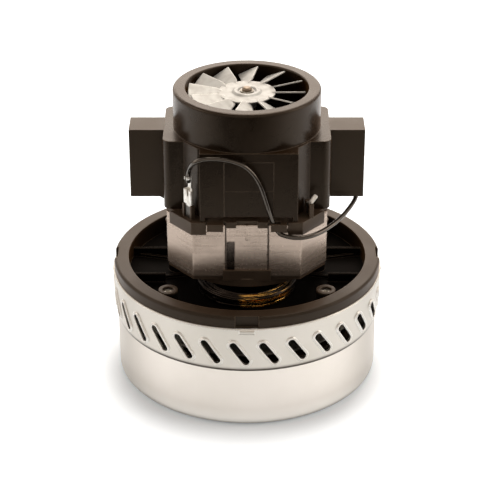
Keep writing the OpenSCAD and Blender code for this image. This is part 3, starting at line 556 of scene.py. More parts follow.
@dataclass(frozen=True)
class StackedSheet(Finish):
    """Stacked electrical sheet: a faint line for every sheet, stains of varnish, a middle that leans, and
    painted shade in the groove of its middle part.

    Attributes:
        sheet: how thick one sheet is.
        middle: half the width of the middle part.
        front: how far from the axis the front lies.
        slope: how far the middle and right-hand faces lean.
        stain: the size of the stains.
        rub: the size of the rubbed spots.
        relief: how far the sheets stand out.
    """

    sheet: float = 0.0005
    middle: float = 0.0112
    front: float = 0.0386
    slope: float = 0.0
    stain: float = 0.02
    rub: float = 0.0007
    relief: float = 0.000008

    def paint(self, surface: Surface) -> None:
        """Lay this finish on a new material."""
        level = surface.along("Z") / self.sheet
        own = surface.random_of(level.whole())
        off_middle = level.part() - 0.5
        seam = off_middle * off_middle * 4.0
        stain = surface.noise(self.stain, 3.0, (1.0, 1.0, 1.6)).step(0.42, 0.72)
        rub = surface.noise(self.rub, 2.0)
        tone = surface.mix(own * 0.35 + stain * 0.3 + rub.swing(0.5), self.tone, self.shade)
        lined = surface.mix(seam.step(0.6, 1.0) * 0.35, tone, SHEET_LINE)
        bumpy = surface.bump((1.0 - seam) * 0.5 + own * 0.2, self.relief, surface.rounded(self.edge))
        sideways = surface.along("X") / self.middle
        forwards = surface.along("Y") / self.front
        leaning = (sideways + 1.0).step(0.0, 0.02)
        # The groove in the middle part gets painted shade.
        in_middle = 1.0 - (sideways * sideways).step(1.0, 1.04)
        hollow = in_middle * (1.0 - (forwards * forwards).step(0.96, 0.99))
        surface.set(
            Base_Color=surface.mix(hollow * 0.85, lined, WINDOW_SHADE),
            Metallic=0.7,
            Roughness=self.roughness + own * 0.04 + rub.swing(0.1) + stain * 0.05,
            Normal=surface.tilted(bumpy, leaning, self.slope),
        )


@dataclass(frozen=True)
class PlatedMetal(Finish):
    """Stamped or plated metal with a soft cloudy sheen, small stains, pale cut edges that are partly a
    painted highlight, and a tone that can turn nearly black below a height.

    Attributes:
        cloud: the size of the clouds.
        metallic: how much of it is bare metal, 0 to 1.
        darkened_below: the height under which the tone turns nearly black.
        darkening_fade: what that darkening fades out over.
        fine: the size of the finest marks.
        relief: how deep they are.
    """

    cloud: float = 0.004
    metallic: float = 1.0
    darkened_below: float = 0.0
    darkening_fade: float = 0.0012
    fine: float = 0.0004
    relief: float = 0.000008

    def paint(self, surface: Surface) -> None:
        """Lay this finish on a new material."""
        cloud = surface.noise(self.cloud, 4.0)
        fine = surface.noise(self.fine, 2.0)
        # Pale edges: partly cut metal, partly a painted highlight.
        cut = surface.near_edge(self.edge).step(0.0, 0.2)
        tone = surface.mix(cloud.step(0.35, 0.7), self.tone, self.shade)
        tone = surface.mix(cut * 0.7, tone, CUT_EDGE_AND_HIGHLIGHT)
        # The tone turns nearly black below a height.
        varnish = surface.below(self.darkened_below, self.darkening_fade)
        surface.set(
            Base_Color=surface.mix(varnish * 0.9, tone, ROOT_DARK),
            Metallic=self.metallic - cut * self.metallic * 0.4,
            Roughness=self.roughness + cloud.swing(0.2) + fine.swing(0.12),
            Normal=surface.bump(fine, self.relief, surface.rounded(self.edge)),
        )


@dataclass(frozen=True)
class TurnedMetal(Finish):
    """Turned or ground round stock: fine rings along the rotor's axis, as wide as ring says."""

    ring: float = 0.0003
    cloud: float = 0.006
    relief: float = 0.00001

    def paint(self, surface: Surface) -> None:
        """Lay this finish on a new material."""
        rings = surface.noise(self.ring, 2.0, (0.02, 0.02, 1.0))
        cloud = surface.noise(self.cloud, 3.0)
        surface.set(
            Base_Color=surface.mix(cloud.step(0.35, 0.7), self.tone, self.shade),
            Metallic=1.0,
            Roughness=self.roughness + rings.swing(0.2) + cloud.swing(0.1),
            Normal=surface.bump(rings, self.relief, surface.rounded(self.edge)),
        )


@dataclass(frozen=True)
class EnamelledWire(Finish):
    """Copper wire under varnish: strands painted golden as glints within a stretch along X, and left nearly
    black as painted shade outside it.

    Attributes:
        lit_from: where the stretch of painted glints starts along X.
        lit_to: where it ends.
        opening: what it starts over.
        closing: what it ends over.
        strand: how wide a strand is.
        bend_centre: how far from the axis a coil's bend has its centre.
        bend_ratio: how much flatter the bend is than a circle.
        fine: the size of the finest marks.
        relief: how deep they are.
    """

    lit_from: float = -0.0055
    lit_to: float = 0.025
    opening: float = 0.005
    closing: float = 0.008
    strand: float = 0.0011
    bend_centre: float = 0.018
    bend_ratio: float = 0.94
    fine: float = 0.0008
    relief: float = 0.00001

    def paint(self, surface: Surface) -> None:
        """Lay this finish on a new material."""
        across = surface.along("X")
        deep = (surface.along("Y").size() - self.bend_centre) * self.bend_ratio
        ring = (across * across + deep * deep).root()
        followed = surface.joined(ring, surface.along("Z"), across * 0.05)
        run = surface.noise(self.strand, 2.0, place=followed)
        fine = surface.noise(self.fine, 2.0)
        # Golden strands are painted glints: many within the stretch, few outside it, where painted shade
        # leaves them nearly black.
        opens = across.step(self.lit_from, self.lit_from + self.opening)
        closes = across.step(self.lit_to - self.closing, self.lit_to)
        window = opens * (1.0 - closes)
        lit_share = window * run.step(0.46, 0.58) + (1.0 - window) * run.step(0.66, 0.8) * 0.35
        surface.set(
            Base_Color=surface.mix(lit_share, self.shade, self.tone),
            Metallic=1.0,
            Roughness=self.roughness + fine.swing(0.2),
            Coat_Weight=0.3 + run.swing(0.4),
            Coat_Roughness=0.2,
            Normal=surface.bump(fine, self.relief),
        )


@dataclass(frozen=True)
class SoftSheath(Finish):
    """The soft black sheath of a lead, with a dull bloom and handling marks."""

    bloom: float = 0.008
    fine: float = 0.0005
    relief: float = 0.00001

    def paint(self, surface: Surface) -> None:
        """Lay this finish on a new material."""
        bloom = surface.noise(self.bloom, 4.0)
        fine = surface.noise(self.fine, 3.0)
        surface.set(
            Base_Color=surface.mix(bloom.step(0.35, 0.75), self.tone, self.shade),
            Roughness=self.roughness + bloom.swing(0.12) + fine.swing(0.06),
            Normal=surface.bump(fine, self.relief),
            Specular_IOR_Level=0.9,
            Specular_Tint=SHEATH_GLOSS,
        )


@dataclass(frozen=True)
class PressedCarbon(Finish):
    """Dull pressed carbon with a fine sparkle of graphite."""

    grit: float = 0.0003
    relief: float = 0.00003

    def paint(self, surface: Surface) -> None:
        """Lay this finish on a new material."""
        grit = surface.noise(self.grit, 3.0)
        surface.set(
            Base_Color=surface.mix(grit.step(0.45, 0.7), self.tone, self.shade),
            Metallic=grit.step(0.5, 0.75) * 0.5,
            Roughness=self.roughness + grit.swing(0.3),
            Normal=surface.bump(grit, self.relief, surface.rounded(self.edge)),
        )


HOUSING_BLACK = MouldedPlastic(
    "housing_black", tint(26, 19, 12), tint(22, 16, 10), 0.25, 0.0008, gloss=0.29, rub_and_highlight=0.7
)
BRACKET_BLACK = MouldedPlastic(
    "bracket_black", tint(30, 24, 18), tint(24, 19, 14), 0.36, 0.0008,
    gloss=0.27, rub_and_highlight=0.7, well_shaded_below=0.0652,
)
COVER_BLACK = MouldedPlastic("cover_black", tint(30, 23, 15), tint(26, 20, 13), 0.36, 0.0005, grain=0.0005)
INSULATOR_BROWN = MouldedPlastic(
    "insulator_brown", tint(66, 56, 47), tint(56, 47, 39), 0.42, 0.0005, rub_and_highlight=0.8
)
CAN_SATIN = SheetMetal(
    "can_satin", tint(231, 225, 218), tint(225, 219, 211), 0.42, 0.0004,
    metallic=0.85, edge_shading=0.63, brightened_below=0.011,
)
BAND_SATIN = SheetMetal(
    "band_satin", tint(198, 193, 185), tint(190, 185, 176), 0.34, 0.001, seam_top=0.037, edge_shading=0.35
)
CORE_SHEETS = StackedSheet("core_sheets", tint(187, 170, 156), tint(163, 147, 134), 0.22, 0.0011, slope=0.04)
ROTOR_SHEETS = StackedSheet("rotor_sheets", tint(172, 160, 148), tint(132, 120, 108), 0.4)
FAN_METAL = PlatedMetal("fan_metal", tint(170, 170, 167), tint(158, 157, 153), 0.5, 0.0008, metallic=0.7)
RING_STEEL = PlatedMetal("ring_steel", tint(150, 144, 134), tint(128, 121, 110), 0.45)
IMPELLER_METAL = PlatedMetal("impeller_metal", tint(222, 220, 214), tint(206, 203, 196), 0.34, cloud=0.01)
ZINC_BRIGHT = PlatedMetal("zinc_bright", tint(214, 211, 204), tint(182, 178, 168), 0.28)
TINNED_BRIGHT = PlatedMetal(
    "tinned_bright", tint(250, 248, 243), tint(232, 228, 220), 0.32,
    cloud=0.002, metallic=0.65, darkened_below=0.1112,
)
BRASS_DRAWN = PlatedMetal("brass_drawn", tint(222, 190, 112), tint(190, 152, 80), 0.3)
GROUND_STEEL = TurnedMetal("ground_steel", tint(206, 203, 198), tint(182, 178, 172), 0.24)
SHAFT_STEEL = TurnedMetal("shaft_steel", tint(142, 128, 112), tint(110, 97, 84), 0.34)
SPRING_STEEL = TurnedMetal("spring_steel", tint(200, 198, 194), tint(170, 167, 162), 0.3)
BAR_COPPER = TurnedMetal("bar_copper", tint(206, 140, 92), tint(150, 92, 58), 0.32)
WIRE_GOLD = EnamelledWire("wire_gold", tint(236, 182, 92), tint(34, 24, 15), 0.26)
WIRE_BROWN = EnamelledWire(
    "wire_brown", tint(188, 124, 62), tint(84, 48, 22), 0.3, lit_from=-0.05, lit_to=0.05
)
SHEATH_BLACK = SoftSheath("sheath_black", tint(30, 25, 20), tint(24, 20, 16), 0.16)
CARBON_GREY = PressedCarbon("carbon_grey", tint(46, 45, 45), tint(70, 69, 68), 0.55)


def only(piece: Optional[bpy.types.Object] = None) -> None:
    """Leave edit mode and select one piece alone, or nothing."""
    if bpy.context.object is not None and bpy.context.object.mode != "OBJECT":
        bpy.ops.object.mode_set(mode="OBJECT")
    bpy.ops.object.select_all(action="DESELECT")
    if piece is not None:
        piece.select_set(True)
        bpy.context.view_layer.objects.active = piece


def dress(finish: Finish, *nodes: str) -> None:
    """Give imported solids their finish.

    Args:
        finish: what they are made of.
        nodes: their names.
    """
    for name in nodes:
        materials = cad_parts[name].data.materials
        materials.clear()
        materials.append(finish.material())
        LOG.info("%s: %s", name, finish.name)


def settle(
    piece: bpy.types.Object, finish: Finish, body: Body, slot: Slot, *stands_for: str
) -> bpy.types.Object:
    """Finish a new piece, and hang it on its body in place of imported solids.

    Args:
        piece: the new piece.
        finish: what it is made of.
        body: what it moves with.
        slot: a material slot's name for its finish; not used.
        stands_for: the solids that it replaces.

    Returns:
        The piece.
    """
    piece.data.materials.clear()
    piece.data.materials.append(finish.material())
    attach(piece, body.value)
    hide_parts(*stands_for)
    LOG.info("%s: %s on %s", piece.name, finish.name, body.value)
    return piece


def pick(piece: bpy.types.Object, element: Element, test: Callable[[Vector, Vector], bool]) -> None:
    """Select parts of a mesh by their place, and stay in edit mode.

    Args:
        piece: the mesh, which is the active object.
        element: points, edges or faces.
        test: takes a middle, in millimetres, and a normal or an edge's direction, and says if it is picked.
    """
    bpy.ops.object.mode_set(mode="EDIT")
    bpy.ops.mesh.select_mode(type=element.value)
    bpy.ops.mesh.select_all(action="DESELECT")
    bpy.ops.object.mode_set(mode="OBJECT")
    mesh = piece.data
    if element is Element.FACE:
        for face in mesh.polygons:
            face.select = test(face.center / MM, face.normal)
    elif element is Element.EDGE:
        for edge in mesh.edges:
            start, end = (mesh.vertices[i].co for i in edge.vertices)
            edge.select = test((start + end) / 2 / MM, (end - start).normalized())
    else:
        for point in mesh.vertices:
            point.select = test(point.co / MM, point.normal)
    bpy.ops.object.mode_set(mode="EDIT")


def shift(x: float, y: float, z: float) -> None:
    """Move what is picked, in millimetres."""
    bpy.ops.transform.translate(value=(x * MM, y * MM, z * MM))


def draw_out(x: float, y: float, z: float) -> None:
    """Draw what is picked out into new faces, in millimetres."""
    bpy.ops.mesh.extrude_region_move(TRANSFORM_OT_translate={"value": (x * MM, y * MM, z * MM)})


def block(name: str, size: Point, middle: Point) -> bpy.types.Object:
    """A block to start a piece from, in millimetres.

    Args:
        name: the piece's name.
        size: its lengths along X, Y and Z.
        middle: its middle.

    Returns:
        The block, which is the active object.
    """
    only()
    bpy.ops.mesh.primitive_cube_add(size=MM, location=Vector(middle) * MM)
    piece = bpy.context.object
    piece.name = name
    piece.scale = size
    bpy.ops.object.transform_apply(location=True, rotation=True, scale=True)
    return piece


def thicken(piece: bpy.types.Object, thickness: float, offset: float = 0.0, rounding: float = 0.08) -> None:
    """Give a sheet its thickness and soft edges, in millimetres.

    Args:
        piece: the sheet.
        thickness: how thick it is.
        offset: which side it grows to: -1, 0 or 1.
        rounding: the radius of its edges.
    """
    only(piece)
    sheet = piece.modifiers.new("sheet", "SOLIDIFY")
    sheet.thickness = thickness * MM
    sheet.offset = offset
    soft = piece.modifiers.new("soft", "BEVEL")
    soft.width = rounding * MM
    soft.segments = 2
    soft.limit_method = "ANGLE"
    soft.angle_limit = SHARP_CORNER
    for modifier in (sheet, soft):
        bpy.ops.object.modifier_apply(modifier=modifier.name)


def gather(name: str, pieces: Sequence[bpy.types.Object]) -> bpy.types.Object:
    """Join meshes into one piece with smooth rounds.

    Args:
        name: the piece's name.
        pieces: the meshes, which become one.

    Returns:
        The joined piece.
    """
    only(pieces[0])
    for other in pieces[1:]:
        other.select_set(True)
    bpy.ops.object.join()
    pieces[0].name = name
    bpy.ops.object.mode_set(mode="EDIT")
    bpy.ops.mesh.select_all(action="SELECT")
    bpy.ops.mesh.normals_make_consistent(inside=False)
    bpy.ops.object.mode_set(mode="OBJECT")
    bpy.ops.object.shade_smooth_by_angle(angle=SMOOTH_SHEET)
    return pieces[0]


def stand(piece: bpy.types.Object, x: float, y: float, turn: float) -> None:
    """Turn a piece about Z and move it, with its place kept in its mesh.

    Args:
        piece: the piece, modelled round the axis.
        x: where its axis goes, in millimetres.
        y: where its axis goes, in millimetres.
        turn: its turn, in degrees.
    """
    only(piece)
    piece.location = (x * MM, y * MM, 0.0)
    piece.rotation_euler = (0.0, 0.0, math.radians(turn))
    bpy.ops.object.transform_apply(location=True, rotation=True, scale=True)


def wire(name: str, path: Sequence[Point], diameter: float, rings: int) -> bpy.types.Object:
    """A round wire along a path, as a mesh.

    Args:
        name: the piece's name.
        path: its centre line, in millimetres.
        diameter: its thickness, in millimetres.
        rings: extra sides of the round, two for each.

    Returns:
        The wire's object.
    """
    curve = bpy.data.curves.new(name, "CURVE")
    curve.dimensions = "3D"
    curve.bevel_depth = diameter / 2 * MM
    curve.bevel_resolution = rings
    curve.use_fill_caps = True
    spline = curve.splines.new("POLY")
    spline.points.add(len(path) - 1)
    for knot, place in zip(spline.points, path):
        knot.co = (place[0] * MM, place[1] * MM, place[2] * MM, 1.0)
    piece = bpy.data.objects.new(name, curve)
    bpy.context.scene.collection.objects.link(piece)
    only(piece)
    bpy.ops.object.convert(target="MESH")
    bpy.ops.object.shade_smooth_by_angle(angle=SMOOTH_WIRE)
    return piece


@dataclass(frozen=True)
class SoftBox:
    """One square lamp that faces the object.

    Attributes:
        name: the lamp's name.
        place: where it hangs, in metres.
        size: the lengths of its sides.
        brightness: how bright its face is, where 1 is white.
        colour: the colour of its light.
    """

    name: str
    place: Point
    size: Tuple[float, float]
    brightness: float
    colour: Tuple[float, float, float] = (1.0, 0.91, 0.82)

    def hang(self) -> None:
        """Hang the lamp."""
        data = bpy.data.lights.new(self.name, "AREA")
        data.shape = "RECTANGLE"
        data.size, data.size_y = self.size
        data.energy = self.brightness * math.pi * self.size[0] * self.size[1]
        data.color = self.colour
        lamp = bpy.data.objects.new(self.name, data)
        lamp.location = self.place
        lamp.rotation_euler = (-Vector(self.place)).to_track_quat("-Z", "Y").to_euler()
        bpy.context.scene.collection.objects.link(lamp)


@dataclass
class Studio:
    """The photograph's camera, a sheet of white paper and soft light. Lengths are in metres.

    Attributes:
        distance: how far the camera stands from its target.
        target_height: the height of that target on the rotor's axis.
        elevation: how far the camera looks down, in degrees.
        lens: its focal length, in millimetres.
        shift_x: how far the picture is moved sideways, as a share of its width.
        shift_y: how far it is moved upwards, as a share of its width.
        paper_width: the width of the paper.
        paper_front: where the paper starts along Y.
        paper_back: where it ends along Y.
        paper_tone: the colour of the paper.
        paper_glow: how much of its white is its own.
        paper_shaded: the distances from the axis that its glow starts and is full at.
        ambient: how bright the room is to what it lights.
        room_tone: the colour of the room in a gloss.
        overhead: how high the darker part overhead starts, and where it is full.
        zenith: how bright that part is.
        underneath: where the dark part underneath is full, and where it ends.
        nadir: how bright that part is.
        lamps: the lamps.
    """

    distance: float = 0.9
    target_height: float = 0.08
    elevation: float = 26.87
    lens: float = 119.27
    shift_x: float = 3.06 / PHOTO_WIDTH
    shift_y: float = -20.52 / PHOTO_WIDTH
    paper_width: float = 3.0
    paper_front: float = -0.285
    paper_back: float = 2.5
    paper_tone: Colour = (0.82, 0.885, 0.955, 1.0)
    paper_glow: float = 0.6
    paper_shaded: Tuple[float, float] = (0.06, 0.092)
    ambient: float = 0.26
    room_tone: Colour = (1.0, 0.89, 0.79, 1.0)
    overhead: Tuple[float, float] = (0.5, 0.95)
    zenith: float = 0.3
    underneath: Tuple[float, float] = (-0.1, 0.0)
    nadir: float = 0.03
    lamps: Tuple[SoftBox, ...] = (
        SoftBox("back_box", (0.0, 1.3, 0.75), (1.6, 0.9), 2.3),
        SoftBox("top_box", (0.1, 0.5, 1.3), (0.7, 0.7), 7.0),
        SoftBox("left_box", (-1.35, -0.1, 0.75), (0.8, 0.8), 1.7),
        SoftBox("right_box", (1.35, -0.1, 0.75), (0.8, 0.8), 2.9),
    )

    def camera(self) -> None:
        """Stand the camera where the photograph was taken from."""
        angle = math.radians(self.elevation)
        data = bpy.data.cameras.new("photo_camera")
        data.lens = self.lens
        data.shift_x = self.shift_x
        data.shift_y = self.shift_y
        camera = bpy.data.objects.new("photo_camera", data)
        camera.location = (
            0.0, -self.distance * math.cos(angle), self.target_height + self.distance * math.sin(angle)
        )
        camera.rotation_euler = (math.pi / 2 - angle, 0.0, 0.0)
        bpy.context.scene.collection.objects.link(camera)
        bpy.context.scene.camera = camera

    @staticmethod
    def seen(nodes: Nodes) -> Value:
        """1 for what is seen, straight or in a gloss, and 0 for what lights the object."""
        return nodes.rays("Is Camera Ray", "Is Glossy Ray", "Is Transmission Ray")

    def floor(self) -> None:
        """Lay a pale sheet that reads as white, and keeps the object's shadow."""
        only()
        middle = (self.paper_front + self.paper_back) / 2
        bpy.ops.mesh.primitive_plane_add(size=1.0, location=(0.0, middle, 0.0))
        floor = bpy.context.object
        floor.name = "floor"
        floor.scale = (self.paper_width, self.paper_back - self.paper_front, 1.0)
        bpy.ops.object.transform_apply(location=True, rotation=True, scale=True)
        surface = Surface("floor_white")
        x, y = surface.along("X"), surface.along("Y")
        near, far = (reach * reach for reach in self.paper_shaded)
        # The glow fades out near the object, which paints a darker ring round it on top of its real shadow.
        glow = (x * x + y * y).step(near, far) * self.paper_glow * self.seen(surface)
        surface.set(
            Base_Color=self.paper_tone,
            Roughness=1.0,
            Specular_IOR_Level=0.0,
            Emission_Strength=1.0,
            Emission_Color=surface.mix(glow, BLACK, WHITE),
        )
        floor.data.materials.append(surface.material)

    def world(self) -> None:
        """Light all round: white to the camera, and darker overhead and underneath in a gloss."""
        world = bpy.data.worlds.new("studio")
        world.use_nodes = True
        bpy.context.scene.world = world
        sky = Nodes(world.node_tree)
        way = Value(sky, sky.node("ShaderNodeTexCoord").outputs["Generated"])
        height = Value(sky, sky.node("ShaderNodeSeparateXYZ", sockets={0: way}).outputs["Z"])
        camera = sky.rays("Is Camera Ray")
        overhead = height.step(*self.overhead) * (1.0 - self.zenith)
        underneath = (1.0 - height.step(*self.underneath)) * (1.0 - self.nadir)
        level = 1.0 - overhead - underneath
        strength = (level.most(camera) - self.ambient) * self.seen(sky) + self.ambient
        colour = sky.mix(camera, self.room_tone, WHITE)
        light = sky.node("ShaderNodeBackground", sockets={"Color": colour, "Strength": strength})
        sky.node("ShaderNodeOutputWorld", sockets={"Surface": Value(sky, light.outputs[0])})

    def build(self) -> None:
        """Set up the whole studio."""
        bpy.context.scene.view_settings.view_transform = "Standard"
        self.camera()
        self.floor()
        self.world()
        for lamp in self.lamps:
            lamp.hang()
        LOG.info("studio is set up")


@dataclass
class JumperLead:
    """The lead from the left front terminal, over the front and behind a hook, to the right cover.

    Attributes:
        diameter: its thickness, in millimetres.
        route: points on its middle line, in millimetres.
        divisions: how many steps lie between two of those points.
        rings: extra sides of its round, two for each.
    """

    diameter: float = 2.4
    route: Tuple[Point, ...] = (
        (-30.2, -32.99, 123.8), (-30.2, -32.99, 127.3), (-29.7, -34.19, 131.0), (-28.4, -38.0, 135.4),
        (-26.2, -40.8, 138.6), (-22.0, -41.4, 140.4), (-16.0, -41.6, 140.8), (-9.0, -41.5, 139.8),
        (-2.0, -41.4, 137.0), (3.2, -41.2, 132.0), (6.8, -41.0, 125.4), (9.2, -40.9, 118.2),
        (11.3, -40.8, 111.0), (12.8, -40.3, 106.0), (14.0, -39.95, 103.0), (15.2, -39.95, 100.4),
        (17.0, -40.3, 98.0), (20.0, -41.4, 97.1), (24.0, -42.4, 96.8), (29.0, -42.2, 96.7),
        (34.5, -39.6, 96.8), (40.0, -34.6, 97.0), (45.5, -28.0, 97.6), (50.5, -20.6, 98.6),
        (54.5, -13.2, 99.8), (57.2, -7.2, 100.9), (58.2, -4.4, 102.0), (58.3, -3.6, 103.8),
        (58.3, -3.6, 106.1),
    )
    divisions: int = 8
    rings: int = 5

    def smooth(self) -> List[Vector]:
        """The route as one smooth run of close points, in metres."""
        knots = [Vector(p) * MM for p in self.route]
        last = len(knots) - 1
        run: List[Vector] = []
        for i in range(last):
            before, start = knots[max(i - 1, 0)], knots[i]
            end, after = knots[i + 1], knots[min(i + 2, last)]
            for k in range(self.divisions):
                t = k / self.divisions
                run.append(0.5 * (
                    2 * start + (end - before) * t + (2 * before - 5 * start + 4 * end - after) * t * t
                    + (3 * start - before - 3 * end + after) * t * t * t
                ))
        run.append(knots[last])
        return run

    def build(self) -> None:
        run = self.smooth()
        piece = wire("jumper_cord", [tuple(p / MM) for p in run], self.diameter, self.rings)
        settle(piece, SHEATH_BLACK, Body.FRAME, Slot.LEAD_RUBBER, "jumper_lead")
        length = sum((b - a).length for a, b in zip(run, run[1:]))


@dataclass
class Terminals:
    """Four blades on the upper insulator, one bent, and the lead's receptacle. Lengths are in millimetres.

    Attributes:
        corner: where three of the blades stand, without signs.
        corner_turn: how far those are turned, in degrees.
        bent_place: where the bent blade stands.
        bent_turn: how far it is turned, in degrees.
        bend_rows: the heights that it is twisted and leaned at.
        row_room: how near to such a height a point counts as on it.
        twist: its twist, in degrees.
        lean: its lean, in degrees.
        tongue: how narrow it is over the bend, as a share.
        blade: a blade's width, thickness and height.
        blade_cells: how many cells a blade has across and upwards.
        blade_chamfer: what is cut off its upper corners.
        foot: the height of its foot.
        hole_height: the height of its locking hole.
        hole_r: the reach of that hole.
        body_low: the height of the receptacle's lower edge.
        body: the receptacle's width, depth and height.
        body_round: the radius of its upright edges.
        wing_gap: half the gap between its wings.
        wing_curl: how far the wings roll in.
        shoulder: how far the neck is drawn in at its start.
        shoulder_rise: the height of the shoulders.
        neck_start: the height of the strip under the shoulders.
        neck_sink: how far its middle lies under the body's upper edge.
        neck_share: how narrow the neck is over the shoulders, as a share.
        neck_lean: how far the neck leans back.
        barrel_r: the radius of the barrels.
        barrel_sides: how many sides they have.
        barrel_gap: half the gap at their front.
        crimps: the height of each barrel's lower edge, and how tall it is.
        ears_out: how the ends of the upper barrel stand out.
        ends_in: how the ends of the lower barrel roll in.
        sheet: the thickness of the receptacle's sheet.
    """

    corner: Tuple[float, float] = (30.2, 32.99)
    corner_turn: float = 50.69
    bent_place: Tuple[float, float] = (32.35, -30.37)
    bent_turn: float = 108.0
    bend_rows: Tuple[float, ...] = (109.0, 110.0, 111.0)
    row_room: float = 0.3
    twist: float = 45.0
    lean: float = 39.0
    tongue: float = 0.52
    blade: Point = (4.8, 0.8, 12.0)
    blade_cells: Tuple[int, int] = (4, 12)
    blade_chamfer: float = 1.0
    foot: float = 104.0
    hole_height: float = 112.0
    hole_r: float = 0.7
    body_low: float = 111.8
    body: Point = (6.2, 2.3, 8.0)
    body_round: float = 0.75
    wing_gap: float = 0.55
    wing_curl: float = 0.6
    shoulder: float = 0.8
    shoulder_rise: float = 1.3
    neck_start: float = 0.6
    neck_sink: float = 0.2
    neck_share: float = 0.52
    neck_lean: float = 0.25
    barrel_r: float = 1.45
    barrel_sides: int = 16
    barrel_gap: float = 0.4
    crimps: Tuple[Tuple[float, float], ...] = ((122.3, 2.7), (125.6, 1.7))
    ears_out: Point = (0.55, -0.5, 0.15)
    ends_in: Point = (-0.2, 0.45, 0.0)
    sheet: float = 0.4

    def flat_blade(self, name: str) -> bpy.types.Object:
        """A blade of bare sheet with a pointed end and a locking hole, still without thickness."""
        width, _, height = self.blade
        columns, rows = self.blade_cells
        only()
        bpy.ops.mesh.primitive_grid_add(
            x_subdivisions=columns, y_subdivisions=rows, size=MM, rotation=(math.pi / 2, 0.0, 0.0)
        )
        piece = bpy.context.object
        piece.name = name
        piece.location.z = (self.foot + height / 2) * MM
        piece.scale = (width, height, 1.0)
        bpy.ops.object.transform_apply(location=True, rotation=True, scale=True)
        top = self.foot + height
        pick(piece, Element.POINT, lambda p, n: p.z > top - NEAR and abs(p.x) > width / 2 - NEAR)
        bpy.ops.mesh.bevel(offset=self.blade_chamfer * MM, segments=2, affect="VERTICES")
        pick(piece, Element.POINT, lambda p, n: abs(p.x) < NEAR and abs(p.z - self.hole_height) < NEAR)
        bpy.ops.mesh.bevel(offset=self.hole_r * MM, segments=2, affect="VERTICES")
        pick(piece, Element.FACE, lambda p, n: math.hypot(p.x, p.z - self.hole_height) < NEAR)
        bpy.ops.mesh.delete(type="FACE")
        bpy.ops.object.mode_set(mode="OBJECT")
        return piece

    def bend(self, piece: bpy.types.Object) -> None:
        """Narrow a blade's upper part to a tongue, then twist it and lean it over, row by row."""
        heights = [point.co.z / MM for point in piece.data.vertices]
        pick(piece, Element.POINT, lambda p, n: p.z > self.bend_rows[-1] - NEAR)
        middle_line = (0.0, 0.0, self.hole_height * MM)
        bpy.ops.transform.resize(value=(self.tongue, 1.0, 1.0), center_override=middle_line)
        bpy.ops.object.mode_set(mode="OBJECT")
        share = 1 / len(self.bend_rows)
        for axis, angle in (("Z", self.twist), ("X", self.lean)):
            for row in self.bend_rows:
                level = [i for i, height in enumerate(heights) if abs(height - row) < self.row_room]
                middle = sum((piece.data.vertices[i].co for i in level), Vector()) / len(level)
                pick(piece, Element.POINT, lambda p, n: False)
                bpy.ops.object.mode_set(mode="OBJECT")
                for point, height in zip(piece.data.vertices, heights):
                    point.select = height > row - self.row_room
                bpy.ops.object.mode_set(mode="EDIT")
                bpy.ops.transform.rotate(
                    value=-math.radians(angle) * share, orient_axis=axis, center_override=tuple(middle)
                )
                bpy.ops.object.mode_set(mode="OBJECT")

    def blades(self) -> None:
        """Stand the four blades in their places."""
        x, y = self.corner
        turn = self.corner_turn
        places = ((-x, -y, -turn), (-x, y, 180 + turn), (x, y, 180 - turn))
        first = self.flat_blade("blade")
        copies = []
        for _ in places:
            copy = first.copy()
            copy.data = first.data.copy()
            bpy.context.scene.collection.objects.link(copy)
            copies.append(copy)
        only(first)
        self.bend(first)
        stand(first, *self.bent_place, self.bent_turn)
        for copy, place in zip(copies, places):
            stand(copy, *place)
        for piece in (first, *copies):
            thicken(piece, self.blade[1])
        whole = gather("terminal_blades", [first, *copies])
        settle(whole, TINNED_BRIGHT, Body.FRAME, Slot.TINNED_BRASS, "terminal_tabs")

    def receptacle_body(self) -> bpy.types.Object:
        """The box that grips the blade: a sleeve of sheet with two wings rolled in at the front."""
        width, _, height = self.body
        piece = block("receptacle_body", self.body, (0.0, 0.0, self.body_low + height / 2))
        pick(piece, Element.FACE, lambda p, n: abs(n.z) > ALONG)
        bpy.ops.mesh.delete(type="ONLY_FACE")
        for x in (-self.wing_gap, self.wing_gap):
            bpy.ops.mesh.select_all(action="SELECT")
            bpy.ops.mesh.bisect(plane_co=(x * MM, 0.0, 0.0), plane_no=(1.0, 0.0, 0.0))
        pick(piece, Element.FACE, lambda p, n: abs(p.x) < self.wing_gap and p.y < 0)
        bpy.ops.mesh.delete(type="FACE")
        pick(piece, Element.POINT, lambda p, n: abs(p.x) < self.wing_gap + NEAR and p.y < 0)
        shift(0.0, self.wing_curl, 0.0)
        pick(piece, Element.EDGE, lambda p, d: abs(p.x) > width / 2 - NEAR and abs(d.z) > ALONG)
        bpy.ops.mesh.bevel(offset=self.body_round * MM, segments=4, affect="EDGES")
        thicken(piece, self.sheet, -1.0)
        return piece

    def receptacle_neck(self) -> bpy.types.Object:
        """The strip from the box to the barrels, drawn in at its shoulders."""
        width, depth, height = self.body
        top = self.body_low + height
        back = depth / 2 - self.sheet / 2
        size = (width - 2 * self.shoulder, self.sheet, self.neck_start)
        piece = block("receptacle_neck", size, (0.0, back, top - self.neck_sink))
        pick(piece, Element.FACE, lambda p, n: n.z > ALONG)
        draw_out(0.0, 0.0, self.shoulder_rise)
        centre = (0.0, back * MM, top * MM)
        bpy.ops.transform.resize(value=(self.neck_share, 1.0, 1.0), center_override=centre)
        shoulder_top = top - self.neck_sink + self.neck_start / 2 + self.shoulder_rise
        draw_out(0.0, self.neck_lean, sum(self.crimps[-1]) - shoulder_top)
        bpy.ops.object.mode_set(mode="OBJECT")
        return piece

